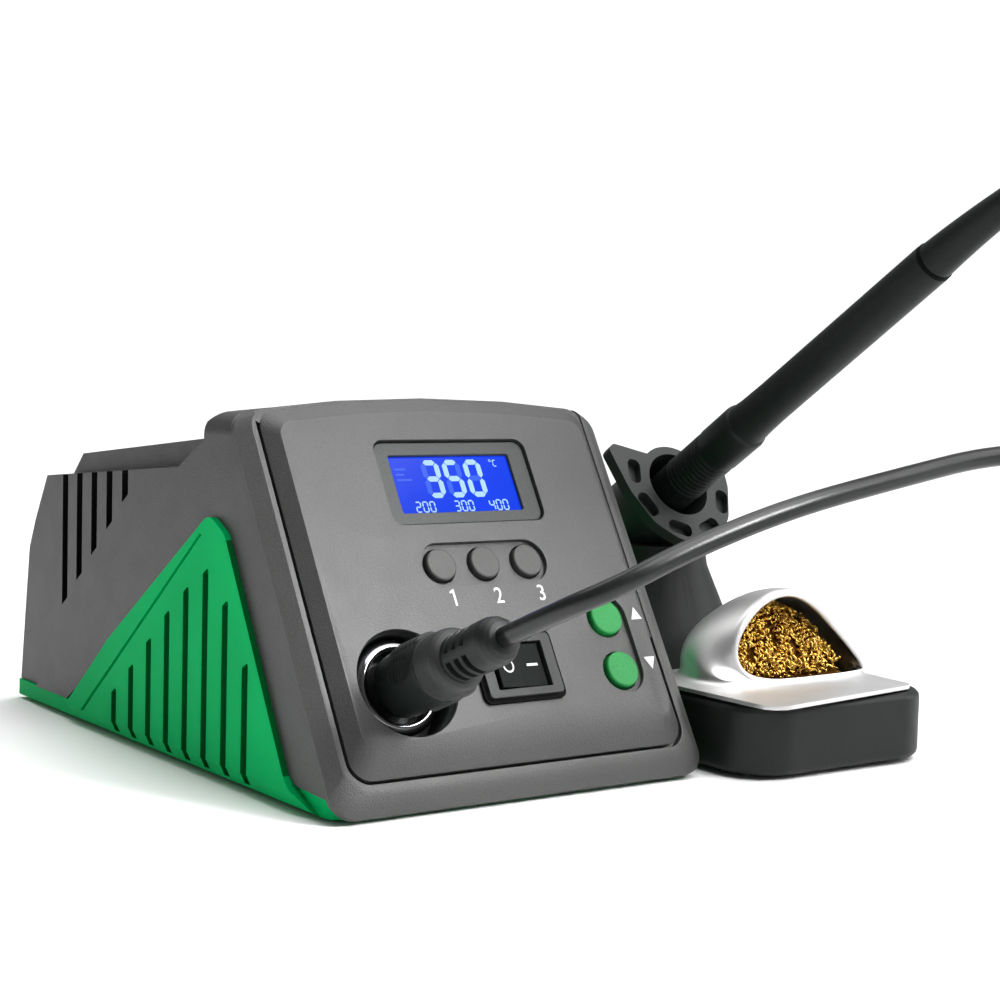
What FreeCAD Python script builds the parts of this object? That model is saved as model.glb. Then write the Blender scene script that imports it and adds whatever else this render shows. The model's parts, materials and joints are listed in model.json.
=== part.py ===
import FreeCAD, Part
import math
import os
import re
from types import SimpleNamespace

import Sketcher
from FreeCAD import Placement, Rotation, Vector

# Driving dimensions in millimetres and degrees. The spreadsheet holds them all.
SIZES = {
    # where the two groups stand
    "station_x": -33.6,
    "station_y": -53.4,
    "stand_x": 55.4,
    "stand_y": -66.4,
    # station shells
    "shell_width": 104.6,
    "wall": 2.4,
    "floor_low": 0.8,
    "seam_level": 5.6,
    "wing_proud": 1.5,
    "wing_plate": 3.4,
    "louvre_width": 3.5,
    "louvre_pitch": 9.3,
    "groove_width": 2.8,
    "groove_depth": 2.2,
    "groove_pitch": 9.9,
    # front panel, in the panel's own plane
    "panel_lean": 30.74,
    "panel_foot": 7.51,
    "panel_half": 46.6,
    "panel_low": 12.3,
    "panel_shoulder": 102.4,
    "panel_crown": 106.0,
    "panel_bevel": 3.0,
    "panel_skirt": 5.0,
    "panel_skin": 2.4,
    "frame_rim": 1.3,
    "frame_gap": 0.8,
    "frame_depth": 6.8,
    # controls
    "lcd_left": -20.0,
    "lcd_low": 71.3,
    "lcd_width": 44.1,
    "lcd_height": 22.3,
    "view_left": -16.0,
    "view_low": 74.7,
    "view_width": 34.8,
    "view_height": 15.1,
    "preset_x": -10.3,
    "preset_pitch": 12.4,
    "preset_level": 60.9,
    "preset_radius": 4.0,
    "arrow_x": 32.7,
    "arrow_low": 31.3,
    "arrow_high": 44.9,
    "arrow_radius": 4.5,
    "button_travel": 1.0,
    "button_gap": 0.4,
    "board_level": 13.0,
    "switch_x": 2.0,
    "switch_level": 34.1,
    "switch_wide": 21.0,
    "switch_tall": 15.0,
    "rocker_wide": 14.4,
    "rocker_tall": 10.6,
    "rocker_tilt": 8.0,
    # socket and plug
    "socket_x": -28.1,
    "socket_level": 32.9,
    "recess_radius": 12.9,
    "ring_radius": 10.6,
    "plug_lift": 22.8,
    "plug_radius": 7.6,
    "plug_length": 22.0,
    "relief_radius": 5.4,
    "relief_length": 17.0,
    # stand
    "base_wide": 64.0,
    "base_long": 126.0,
    "base_high": 18.0,
    "pedestal_back": 79.5,
    "funnel_lift": 33.6,
    "funnel_back": 68.5,
    "funnel_high": 66.7,
    "flange_radius": 17.5,
    "flange_thick": 3.5,
    "funnel_bore": 9.5,
    "hood_half": 24.5,
    "mouth_lean": 27.0,
    "hood_rise": 22.6,
    "hood_sheet": 1.2,
    # iron
    "grip_radius": 6.5,
    "grip_length": 46.0,
    "handle_radius": 5.4,
    "handle_length": 75.0,
    # cord
    "cord_diameter": 4.5,
    "coil_across": 54.0,
    "coil_wide": 9.4,
    "coil_high": 9.0,
}
S = SimpleNamespace(**SIZES)

doc = FreeCAD.newDocument("SolderingStation")
sheet = doc.addObject("Spreadsheet::Sheet", "Sizes")
for row, (alias, value) in enumerate(SIZES.items(), 1):
    sheet.set(f"A{row}", alias)
    sheet.set(f"B{row}", str(value))
    sheet.setAlias(f"B{row}", alias)
doc.recompute()

AXIS_X = Vector(1, 0, 0)
AXIS_Z = Vector(0, 0, 1)
exports = []


# ---------------------------------------------------------------- helpers
def bind(feature, field, size):
    """Binds a property to the sheet when size is an expression of its names."""
    if isinstance(size, str):
        feature.setExpression(field, re.sub(r"[a-z]\w*", lambda word: f"Sizes.{word[0]}", size))
    else:
        setattr(feature, field, size)


def new_body(label, place=None):
    body = doc.addObject("PartDesign::Body", label)
    body.Label = label
    body.Placement = place or Placement()
    return body


def new_sketch(body, plane="XY_Plane", shift=0.0):
    """A sketch on one of the body's origin planes, moved along its normal."""
    support = next(item for item in body.Origin.OriginFeatures if item.Role == plane)
    sketch = body.newObject("Sketcher::SketchObject", body.Name + "_sketch")
    sketch.AttachmentSupport = [(support, "")]
    sketch.MapMode = "FlatFace"
    sketch.AttachmentOffset = Placement(Vector(0, 0, shift), Rotation())
    return sketch


def outline(points, radii=0.0):
    """Closed line and arc geometry through points, each corner rounded by its radius."""
    count = len(points)
    radii = radii if isinstance(radii, (list, tuple)) else [radii] * count
    corners = []
    for index, radius in enumerate(radii):
        here = Vector(*points[index], 0)
        before = (Vector(*points[index - 1], 0) - here).normalize()
        after = (Vector(*points[(index + 1) % count], 0) - here).normalize()
        half = before.getAngle(after) / 2
        if radius <= 0:
            corners.append((here, here, here))
            continue
        reach = radius / math.tan(half)
        middle = (before + after).normalize() * (radius / math.sin(half) - radius)
        corners.append((here + before * reach, here + middle, here + after * reach))
    pieces = []
    for index, (start, middle, end) in enumerate(corners):
        if start != end:
            pieces.append(Part.Arc(start, middle, end))
        pieces.append(Part.LineSegment(end, corners[(index + 1) % count][0]))
    return pieces


def draw(sketch, points, radii=0.0):
    for piece in outline(points, radii):
        sketch.addGeometry(piece, False)
    return sketch


def draw_circle(sketch, x, y, size):
    """A circle whose radius follows an expression of the sheet's names, or is a number."""
    sketch.addGeometry(Part.Circle(Vector(x, y, 0), AXIS_Z, 1.0), False)
    geometry = sketch.GeometryCount - 1
    constraint = sketch.addConstraint(Sketcher.Constraint("Radius", geometry, 1.0))
    if isinstance(size, str):
        bind(sketch, f"Constraints[{constraint}]", size)
    else:
        sketch.setDatum(constraint, FreeCAD.Units.Quantity(f"{size} mm"))
    return sketch


def rectangle(left, low, width, height):
    return [(left, low), (left + width, low), (left + width, low + height), (left, low + height)]


def pill(x, low, high, radius):
    """Corner points of an upright rounded slot."""
    return rectangle(x - radius, low - radius, 2 * radius, high - low + 2 * radius)


def pad(body, sketch, length, midplane=False, back=False):
    feature = body.newObject("PartDesign::Pad", body.Name + "_pad")
    feature.Profile = sketch
    bind(feature, "Length", length)
    feature.Midplane = midplane
    feature.Reversed = back
    doc.recompute()
    return feature


def cut(body, sketch, length, midplane=False, back=False):
    """A pocket; it must take material away."""
    before = body.Shape.Volume
    feature = body.newObject("PartDesign::Pocket", body.Name + "_pocket")
    feature.Profile = sketch
    bind(feature, "Length", length)
    feature.Midplane = midplane
    feature.Reversed = back
    doc.recompute()
    if body.Shape.Volume > before - 0.01:
        raise RuntimeError(f"{feature.Name} cuts nothing")
    return feature


def loft(body, sketches):
    feature = body.newObject("PartDesign::AdditiveLoft", body.Name + "_loft")
    feature.Profile = sketches[0]
    feature.Sections = sketches[1:]
    feature.Ruled = True
    doc.recompute()
    return feature


def spin(body, points, radii=0.0):
    """A turned piece: points are radius and height, turned about the body's Z axis."""
    sketch = draw(new_sketch(body, "XZ_Plane"), points, radii)
    feature = body.newObject("PartDesign::Revolution", body.Name + "_turned")
    feature.Profile = sketch
    feature.ReferenceAxis = (sketch, ["V_Axis"])
    feature.Angle = 360
    doc.recompute()
    return feature


def keep(item):
    exports.append(item)
    return item


def group(label, shapes):
    """One node of several identical pieces, each a solid of its own."""
    item = doc.addObject("Part::Feature", label)
    item.Label = label
    item.Shape = Part.makeCompound(shapes)
    return keep(item)


# ---------------------------------------------------------------- frames
STATION = Placement(Vector(S.station_x, S.station_y, 0), Rotation())
STAND = Placement(Vector(S.stand_x, S.stand_y, 0), Rotation())
# panel frame: x across, y up the slope, z out of the panel's face
PANEL = STATION * Placement(Vector(0, -S.panel_foot, 0), Rotation(AXIS_X, 90 - S.panel_lean))
# plug frame: z out of the socket, along the plug
SOCKET_POINT = PANEL.multVec(Vector(S.socket_x, S.socket_level, 0))
PLUG = Placement(SOCKET_POINT, Rotation(AXIS_X, 90 - S.plug_lift))
# funnel frame: z out of the holder, along the iron towards its rear
FUNNEL = STAND * Placement(Vector(0, S.funnel_back, S.funnel_high), Rotation(AXIS_X, 90 - S.funnel_lift))
# rear frame: x across, y up the rear wall, z into the station
REAR_LEAN = 8.27
REAR = STATION * Placement(Vector(0, 174.4, 12.0), Rotation(AXIS_X, 90 + REAR_LEAN))


def panel_side_point(height, depth):
    """Station Y of a point at a height and a depth behind the panel's plane."""
    lean = math.radians(S.panel_lean)
    slope = (height + depth * math.sin(lean)) / math.cos(lean)
    return slope * math.sin(lean) + depth * math.cos(lean) - S.panel_foot


# ---------------------------------------------------------------- station shells
HALF = S.shell_width / 2
INNER = HALF - S.wall
# side view of the arm that runs from the top front corner down to the rear
ARM = [(62.2, 79.6), (74.6, 72.7), (84.7, 66.7), (147.0, 20.4), (161.0, S.seam_level)]
ROOF_FRONT = (66.5, 80.3)
ROOF_REAR = (151.5, 70.8)
LEDGE_REAR = (157.0, 64.6)
BACK = [(157.5, 65.2), (166.0, 51.5), (170.0, 43.5), (174.0, 16.0), (175.4, S.seam_level)]
# side view of the wing: its foot, the steep front edge, the apex and the long rear edge
WING = [(3.5, 6.3), (18.6, 6.3), (32.6, 30.2), (48.5, 58.6), (56.5, 62.6), (93.6, 37.2), (111.5, 25.4),
        (121.8, 16.9), (136.5, S.seam_level)]
WING_RADII = [0, 6.0, 0, 5.0, 5.0, 0, 0, 0, 0]
# upper ends of the grooves between the wing's ribs, from the rear to the front
GROOVE_TOPS = [13.4, 21.0, 29.0, 37.0, 44.0, 49.4, 43.0, 30.0]
LEDGE_HALF = 43.0


def mirrored_cuts(body, points, inner, length, radii=0.0):
    """The same side-view pocket on the left and on the right, from inner outwards."""
    for side in (1, -1):
        sketch = draw(new_sketch(body, "YZ_Plane", side * inner), points, radii)
        cut(body, sketch, length, back=side > 0)


def make_top_shell():
    """Grey cover: arched hood at the front, side arms, stepped roof and louvred rear."""
    body = new_body("top_shell", STATION)
    front_low = (panel_side_point(S.seam_level, S.frame_depth), S.seam_level)
    front_high = (panel_side_point(88.4, S.frame_depth), 88.4)
    side = [front_low, front_high, (57.0, 88.2), ROOF_FRONT, ROOF_REAR] + BACK
    side += [(161.5, S.seam_level), (140.0, S.seam_level)] + WING[::-1][1:-1]
    radii = [0] * (len(side) - len(WING) + 2) + WING_RADII[::-1][1:-1]
    pad(body, draw(new_sketch(body, "YZ_Plane"), side, radii), "shell_width", midplane=True)
    # arched top: everything above the front outline goes
    arch = [(-HALF - 5, 72.0), (-HALF, 72.0), (-HALF, 85.9), (-24.0, 88.6), (24.0, 88.6), (HALF, 85.9), (HALF, 72.0),
            (HALF + 5, 72.0), (HALF + 5, 95.0), (-HALF - 5, 95.0)]
    arch_radii = [0, 0, 5.5, 90.0, 90.0, 5.5, 0, 0, 0, 0]
    cut(body, draw(new_sketch(body, "XZ_Plane", -80.0), arch, arch_radii), 160.0, midplane=True)
    # ledge along both sides of the roof, behind the arm
    ledge = [ARM[0], (75.2, 72.4), LEDGE_REAR, (165.0, 63.8), (165.0, 90.0), (62.2, 90.0)]
    mirrored_cuts(body, ledge, LEDGE_HALF, 15.0)
    # rear sides lean inwards behind the arm
    lean = [ARM[1], ARM[2], ARM[3], ARM[4], (190.0, S.seam_level), (190.0, 90.0), (74.6, 90.0)]
    mirrored_cuts(body, lean, HALF - 1.6, 12.0)
    # room inside
    front_y = panel_side_point(0.0, -20.0)
    wide = [(front_y, -2.0), (20.0, 76.0), (60.0, 76.0), (84.0, 63.5), (145.0, 18.0), (158.0, 3.0), (158.0, -2.0)]
    cut(body, draw(new_sketch(body, "YZ_Plane"), wide), 2 * INNER, midplane=True)
    middle = [(front_y, -2.0), (20.0, 82.0), (58.0, 82.0), (68.0, 71.4), (154.8, 62.4), (163.4, 50.4),
              (167.4, 42.8), (171.4, 15.8), (172.8, -2.0)]
    cut(body, draw(new_sketch(body, "YZ_Plane"), middle), 2 * (INNER - 2.0), midplane=True)
    roof = [(front_y, -2.0), (20.0, 85.6), (56.0, 85.6), (65.0, 77.8), (150.6, 68.2), (155.0, 62.0), (155.0, -2.0)]
    cut(body, draw(new_sketch(body, "YZ_Plane"), roof), 2 * (LEDGE_HALF - S.wall), midplane=True)
    # louvres
    for index in range(5):
        back = 147.3 - index * S.louvre_pitch
        low = 30.0 + index * 7.7
        high = 66.6 + index * 0.95
        slot = [(back - S.louvre_width, low + 2.4), (back, low), (back, high), (back - S.louvre_width, high + 0.3)]
        mirrored_cuts(body, slot, INNER - 4.4, 10.0)
    # opening for the rear panel
    opening = rectangle(-34.0, 13.0, 68.0, 30.0)
    cut(body, draw(new_sketch(body, "XZ_Plane", -165.0), opening), 30.0)
    return keep(body)


def make_bottom_shell():
    """Green tray with a ribbed triangular wing on each side."""
    body = new_body("bottom_shell", STATION)
    plan = [(-HALF + 1.6, 3.8), (HALF - 1.6, 3.8), (HALF, 45.0), (HALF, 140.0), (HALF - 1.0, 175.2),
            (-HALF + 1.0, 175.2), (-HALF, 140.0), (-HALF, 45.0)]
    rise = S.seam_level - S.floor_low - 0.1
    rounding = [4.0, 4.0, 0, 0, 0, 0, 0, 0]
    pad(body, draw(new_sketch(body, "XY_Plane", S.floor_low), plan, rounding), rise)
    room = [(-INNER + 1.6, 9.0), (INNER - 1.6, 9.0), (INNER, 45.0), (INNER, 140.0), (INNER - 1.0, 172.0),
            (-INNER + 1.0, 172.0), (-INNER, 140.0), (-INNER, 45.0)]
    cut(body, draw(new_sketch(body, "XY_Plane", S.floor_low + S.wall), room), 20.0, back=True)
    # wings stand proud of the grey shell's sides
    outline_points = [(8.0, S.floor_low)] + [(y, z) for y, z in WING[1:-1]] + [(136.2, S.seam_level)]
    outline_points += [(134.0, S.floor_low)]
    radii = [0] + WING_RADII[1:-1] + [0, 0]
    outer = HALF + S.wing_proud
    for side in (1, -1):
        sketch = draw(new_sketch(body, "YZ_Plane", side * (outer - S.wing_plate - 0.2)), outline_points, radii)
        pad(body, sketch, "wing_plate + 0.2", back=side < 0)
    # bottom edges roll under
    for side in (1, -1):
        roll = [(side * 49.0, 0.0), (side * 56.0, 0.0), (side * 56.0, 6.2), (side * (outer - 0.2), 4.6),
                (side * 52.2, 1.6)]
        cut(body, draw(new_sketch(body, "XZ_Plane", -90.0), roll), 200.0, midplane=True)
    # border groove parallel to the wing's rear edge
    border = [(59.6, 57.6), (61.0, 57.6), (97.8, 28.4), (127.6, 4.6), (126.0, 4.6), (96.4, 28.2)]
    mirrored_cuts(body, border, outer - 1.2, 3.0)
    # grooves between the ribs
    for index, top in enumerate(GROOVE_TOPS):
        y = 107.0 - index * S.groove_pitch
        left, right = y - S.groove_width / 2, y + S.groove_width / 2
        groove = [(left, 2.4), (right, 2.4), (right, top - 1.0), (left, top + 0.8)]
        mirrored_cuts(body, groove, outer - S.groove_depth, 4.0, [0, 0, 0.6, 0.6])
    # bosses for the boards, transformer and case screws
    for x, y, high in BOARD_POSTS + CORE_POSTS + CASE_POSTS:
        sketch = new_sketch(body, "XY_Plane", S.floor_low + S.wall - 0.2)
        draw_circle(sketch, x, y, 3.4)
        pad(body, sketch, high - S.floor_low - S.wall + 0.2)
    for x, y, _ in CASE_POSTS:
        cut(body, draw_circle(new_sketch(body, "XY_Plane"), x, y, 2.7), S.floor_low + 1.4, back=True)
    # pockets for the feet
    for x, y in FEET:
        cut(body, draw_circle(new_sketch(body, "XY_Plane", S.floor_low), x, y, 5.2), 1.4, back=True)
    return keep(body)


BOARD_POSTS = [(x, y, 9.0) for x in (-38.0, 38.0) for y in (28.0, 84.0)]
CORE_POSTS = [(x, y, 6.0) for x in (-24.0, 24.0) for y in (106.0, 130.0)]
CASE_POSTS = [(x, 156.0, 12.0) for x in (-38.0, 38.0)]
FEET = [(x, y) for x in (-38.0, 38.0) for y in (18.0, 145.0)]


def panel_outline(side, low, shoulder, crown):
    """Front-view corner points: straight foot and sides, gently arched top."""
    return [(-side, low), (side, low), (side, shoulder), (side / 2, crown - 0.8), (0.0, crown),
            (-side / 2, crown - 0.8), (-side, shoulder)]


def panel_rounding(foot, top):
    """Corner radii for panel_outline."""
    return [foot, foot, top, 90.0, 90.0, 90.0, top]


def make_front_frame():
    """Ring round the front panel: flat rim, outer bevel and the vertical lip at its foot."""
    body = new_body("front_frame", PANEL)
    rim_side = S.panel_half + S.frame_gap + S.frame_rim
    rounding = panel_rounding(6.0, 6.0)
    inner = panel_outline(rim_side, 8.8, 103.6, 106.8)
    outer = panel_outline(HALF, 5.0, 103.6, 106.8)
    low_ring = draw(new_sketch(body, shift=-5.3), outer, rounding)
    loft(body, [low_ring, draw(new_sketch(body, shift=-3.0), inner, rounding)])
    skirt = draw(new_sketch(body, shift=-S.frame_depth), outer, rounding)
    pad(body, skirt, S.frame_depth - 5.3)
    seat = panel_outline(S.panel_half + S.frame_gap, 11.5, 105.5, 109.0)
    cut(body, draw(new_sketch(body, shift=-5.2), seat, panel_rounding(5.6, 5.6)), 4.0, back=True)
    mouth = panel_outline(S.panel_half - 2.6, 15.0, 97.0, 100.0)
    cut(body, draw(new_sketch(body, shift=-10.0), mouth, panel_rounding(3.0, 3.0)), 8.0, back=True)
    return keep(body)


def make_front_panel():
    """Raised panel with bevelled edges, recesses and cut-outs for every control."""
    body = new_body("front_panel", PANEL)
    foot = panel_outline(S.panel_half, S.panel_low, S.panel_shoulder, S.panel_crown)
    face = panel_outline(S.panel_half - S.panel_bevel, S.panel_low + 6.4, S.panel_shoulder - 4.0, S.panel_crown - 4.6)
    rounding = panel_rounding(5.2, 5.2)
    skirt = draw(new_sketch(body, shift=-S.panel_skirt), foot, rounding)
    pad(body, skirt, "panel_skirt - panel_bevel")
    low_ring = draw(new_sketch(body, shift=-S.panel_bevel), foot, rounding)
    loft(body, [low_ring, draw(new_sketch(body), face, panel_rounding(4.0, 4.0))])
    inside = panel_outline(S.panel_half - 2.4, S.panel_low + 2.4, S.panel_shoulder - 2.4, S.panel_crown - 2.4)
    inside_sketch = draw(new_sketch(body, shift=-S.panel_skirt - 1), inside, panel_rounding(3.0, 3.0))
    cut(body, inside_sketch, "panel_skirt - panel_skin - 1 + 1.8", back=True)
    # display recess and opening
    recess = rectangle(S.lcd_left, S.lcd_low, S.lcd_width, S.lcd_height)
    cut(body, draw(new_sketch(body, shift=-10.0), recess, 3.0), 20.0, back=True)
    # pill recess with three preset holes
    presets = [S.preset_x + index * S.preset_pitch for index in range(3)]
    radius = S.preset_radius + 1.5
    strip = rectangle(presets[0] - radius, S.preset_level - radius, presets[2] - presets[0] + 2 * radius, 2 * radius)
    cut(body, draw(new_sketch(body, shift=-1.2), strip, radius - 0.01), 3.0, back=True)
    strip = pill(S.arrow_x, S.arrow_low, S.arrow_high, S.arrow_radius + 1.5)
    cut(body, draw(new_sketch(body, shift=-1.2), strip, S.arrow_radius + 1.49), 3.0, back=True)
    holes = [(x, S.preset_level, "preset_radius + button_gap") for x in presets]
    holes += [(S.arrow_x, level, "arrow_radius + button_gap") for level in (S.arrow_low, S.arrow_high)]
    for x, y, radius in holes:
        cut(body, draw_circle(new_sketch(body, shift=-10.0), x, y, radius), 20.0, back=True)
    # rocker switch cut-out and socket bore
    wide, tall = S.switch_wide - 1.8, S.switch_tall - 1.8
    opening = rectangle(S.switch_x - wide / 2, S.switch_level - tall / 2, wide, tall)
    cut(body, draw(new_sketch(body, shift=-10.0), opening), 20.0, back=True)
    cup = draw_circle(new_sketch(body, shift=-13.0), S.socket_x, S.socket_level, "recess_radius + 1.5")
    pad(body, cup, 11.0)
    bore = draw_circle(new_sketch(body, shift=-11.8), S.socket_x, S.socket_level, "recess_radius")
    cut(body, bore, 20.0, back=True)
    neck = draw_circle(new_sketch(body, shift=-14.0), S.socket_x, S.socket_level, 10.3)
    cut(body, neck, 6.0, back=True)
    return keep(body)


def make_station_feet():
    shapes = []
    for x, y in FEET:
        foot = Part.makeCylinder(5.0, 2.1, Vector(x, y, 0))
        foot.Placement = STATION * foot.Placement
        shapes.append(foot)
    group("station_feet", shapes)


# ---------------------------------------------------------------- display and controls
def make_display():
    """Bezel, window and module of the display, set in the panel's recess."""
    bezel = new_body("display_bezel", PANEL)
    gap = 0.35
    plate = rectangle(S.lcd_left + gap, S.lcd_low + gap, S.lcd_width - 2 * gap, S.lcd_height - 2 * gap)
    pad(bezel, draw(new_sketch(bezel, shift=-3.2), plate, 2.7), 2.4)
    view = rectangle(S.view_left, S.view_low, S.view_width, S.view_height)
    cut(bezel, draw(new_sketch(bezel, shift=-4.0), view, 0.6), 5.0, back=True)
    keep(bezel)
    window = new_body("display_window", PANEL)
    view = rectangle(S.view_left + 0.05, S.view_low + 0.05, S.view_width - 0.1, S.view_height - 0.1)
    pad(window, draw(new_sketch(window, shift=-3.2), view, 0.6), 1.5)
    keep(window)
    module = new_body("display_module", PANEL)
    block = rectangle(S.lcd_left + 1.0, S.lcd_low - 1.0, S.lcd_width - 2.0, S.lcd_height + 2.0)
    pad(module, draw(new_sketch(module, shift=-S.board_level + 0.1), block), S.board_level - 5.2 - 0.1)
    block = rectangle(S.lcd_left + 2.0, S.lcd_low + 2.0, S.lcd_width - 4.0, S.lcd_height - 4.0)
    pad(module, draw(new_sketch(module, shift=-5.4), block), 2.1)
    keep(module)


BUTTON_BACK = 4.6


def button(label, x, y, radius_name):
    """Round cap with a flange that stops it behind the panel."""
    body = new_body(label, PANEL * Placement(Vector(x, y, 0), Rotation()))
    radius = SIZES[radius_name]
    pad(body, draw_circle(new_sketch(body, shift=-BUTTON_BACK), 0, 0, radius_name), BUTTON_BACK + 0.3)
    pad(body, draw_circle(new_sketch(body, shift=-BUTTON_BACK), 0, 0, radius + 1.1), 1.2)
    return keep(body)


def make_buttons():
    for index in range(3):
        button(f"preset_button_{index + 1}", S.preset_x + index * S.preset_pitch, S.preset_level, "preset_radius")
    button("down_button", S.arrow_x, S.arrow_low, "arrow_radius")
    button("up_button", S.arrow_x, S.arrow_high, "arrow_radius")


def make_control_board():
    """L-shaped board behind the display and buttons, with its five tactile switches."""
    body = new_body("control_board", PANEL)
    shape = [(-24.0, 50.0), (24.0, 50.0), (24.0, 24.0), (42.0, 24.0), (42.0, 96.0), (-24.0, 96.0)]
    pad(body, draw(new_sketch(body, shift=-S.board_level - 1.6), shape, 1.0), 1.6)
    keep(body)
    places = [(S.preset_x + index * S.preset_pitch, S.preset_level) for index in range(3)]
    places += [(S.arrow_x, S.arrow_low), (S.arrow_x, S.arrow_high)]
    stem_long = S.board_level - 3.5 - BUTTON_BACK - S.button_travel - 0.05
    shapes = []
    for x, y in places:
        box = Part.makeBox(6.0, 6.0, 3.6, Vector(x - 3.0, y - 3.0, -S.board_level))
        stem = Part.makeCylinder(1.6, stem_long, Vector(x, y, -S.board_level + 3.5))
        switch = box.fuse(stem)
        switch.Placement = PANEL
        shapes.append(switch)
    group("tact_switches", shapes)


def make_rocker_switch():
    """Snap-in power switch: housing with bezel, and the rocker that tilts across it."""
    place = PANEL * Placement(Vector(S.switch_x, S.switch_level, 0), Rotation())
    body = new_body("switch_housing", place)
    wide, tall = S.switch_wide, S.switch_tall
    pad(body, draw(new_sketch(body, shift=0.02), rectangle(-wide / 2, -tall / 2, wide, tall), 1.2), 1.7)
    throat = rectangle(-wide / 2 + 1.1, -tall / 2 + 1.1, wide - 2.2, tall - 2.2)
    pad(body, draw(new_sketch(body, shift=-14.0), throat), 14.1)
    pocket = rectangle(-S.rocker_wide / 2 - 0.4, -S.rocker_tall / 2 - 0.3, S.rocker_wide + 0.8, S.rocker_tall + 0.6)
    cut(body, draw(new_sketch(body, shift=-6.4), pocket), 12.0, back=True)
    for x in (-5.0, 0.0, 5.0):
        tab = rectangle(x - 0.4, -2.4, 0.8, 4.8)
        pad(body, draw(new_sketch(body, shift=-21.0), tab), 7.1)
    # axle stubs that carry the rocker
    for side in (1, -1):
        start = side * (S.rocker_tall / 2 + 0.4)
        stub = draw_circle(new_sketch(body, "XZ_Plane", -start), 0.0, -1.2, 1.0)
        pad(body, stub, 1.6, back=side < 0)
    keep(body)
    rocker = new_body("rocker", place)
    half = S.rocker_wide / 2
    rise = half * math.tan(math.radians(S.rocker_tilt))
    side_view = [(-half + 0.2, 1.5 + rise), (0.0, 1.3), (half - 0.2, 1.5 - rise * 0.55), (half - 0.4, -0.6),
                 (1.6, -3.4), (-1.6, -3.4), (-half + 0.6, -0.6)]
    pad(rocker, draw(new_sketch(rocker, "XZ_Plane"), side_view, 0.3), "rocker_tall", midplane=True)
    bore = draw_circle(new_sketch(rocker, "XZ_Plane"), 0.0, -1.2, 1.06)
    cut(rocker, bore, S.rocker_tall + 2, midplane=True)
    keep(rocker)


# ---------------------------------------------------------------- socket and plug
def make_socket():
    """Glossy ring in the panel's recess and the contact insert inside it."""
    ring = new_body("socket_ring", PLUG)
    spin(ring, [(8.3, -9.5), (11.3, -9.5), (11.3, -6.2), (S.ring_radius, -4.2), (9.4, -3.2), (8.3, -4.6)], 0.0)
    keep(ring)
    insert = new_body("socket_insert", PLUG)
    pad(insert, draw_circle(new_sketch(insert, shift=-20.0), 0, 0, 8.2), 10.0)
    pad(insert, draw_circle(new_sketch(insert, shift=-11.0), 0, 0, 5.0), 5.0)
    for index in range(5):
        turn = math.radians(-50 + 70 * index)
        hole = draw_circle(new_sketch(insert, shift=-13.0), 3.2 * math.sin(turn), 3.2 * math.cos(turn), 0.7)
        cut(insert, hole, 10.0, back=True)
    keep(insert)


def make_plug():
    """Moulded plug: ribbed body, smooth neck and slotted strain relief."""
    body = new_body("plug_body", PLUG)
    top = S.plug_length
    spin(body, [(0, -3.0), (7.0, -3.0), (S.plug_radius, -1.0), (S.plug_radius, 13.2), (7.0, 14.2), (7.3, 15.4),
                (7.2, top - 2.0), (5.6, top), (0, top)])
    keep(body)
    relief = new_body("plug_relief", PLUG)
    radius = S.relief_radius
    end = top + S.relief_length
    spin(relief, [(0, top), (radius, top), (radius, end - 3.0), (radius - 1.4, end), (0, end)], [0, 0, 2.0, 1.0, 0])
    for row in range(3):
        level = top + 2.2 + row * 3.0
        for turn in (0, 90, 180, 270):
            sketch = new_sketch(relief, "XZ_Plane")
            out = Placement(Vector(0, 0, 3.9), Rotation())
            sketch.AttachmentOffset = Placement(Vector(), Rotation(Vector(0, 1, 0), turn)) * out
            draw(sketch, rectangle(-3.1, level, 6.2, 1.5))
            cut(relief, sketch, 4.0, back=True)
    keep(relief)
    barrel = new_body("plug_barrel", PLUG)
    spin(barrel, [(5.4, -9.0), (6.6, -9.0), (6.6, -3.0), (5.4, -3.0)])
    keep(barrel)


# ---------------------------------------------------------------- inside the station
CORE_BACK = 118.0
CORE_LOW = 6.0


def make_transformer():
    """E-I core with two windows and the winding that fills them."""
    place = STATION * Placement(Vector(0, CORE_BACK, CORE_LOW), Rotation())
    core = new_body("transformer_core", place)
    pad(core, draw(new_sketch(core, "XZ_Plane"), rectangle(-28.5, 0.0, 57.0, 47.5)), 28.0, midplane=True)
    for side in (1, -1):
        left = 9.5 if side > 0 else -19.0
        cut(core, draw(new_sketch(core, "XZ_Plane"), rectangle(left, 9.5, 9.5, 28.5)), 40.0, midplane=True)
    keep(core)
    winding = new_body("transformer_winding", place)
    block = rectangle(-18.6, 9.9, 37.2, 27.7)
    pad(winding, draw(new_sketch(winding, "XZ_Plane"), block), 46.0, midplane=True)
    cut(winding, draw(new_sketch(winding, "XZ_Plane"), rectangle(-9.9, 0.0, 19.8, 47.5)), 28.8, midplane=True)
    keep(winding)
    strap = new_body("transformer_strap", place)
    bridge = [(-28.6, 0.0), (-28.6, 47.6), (28.6, 47.6), (28.6, 0.0), (29.8, 0.0), (29.8, 48.8), (-29.8, 48.8),
              (-29.8, 0.0)]
    pad(strap, draw(new_sketch(strap, "XZ_Plane"), bridge), 16.0, midplane=True)
    keep(strap)


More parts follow.
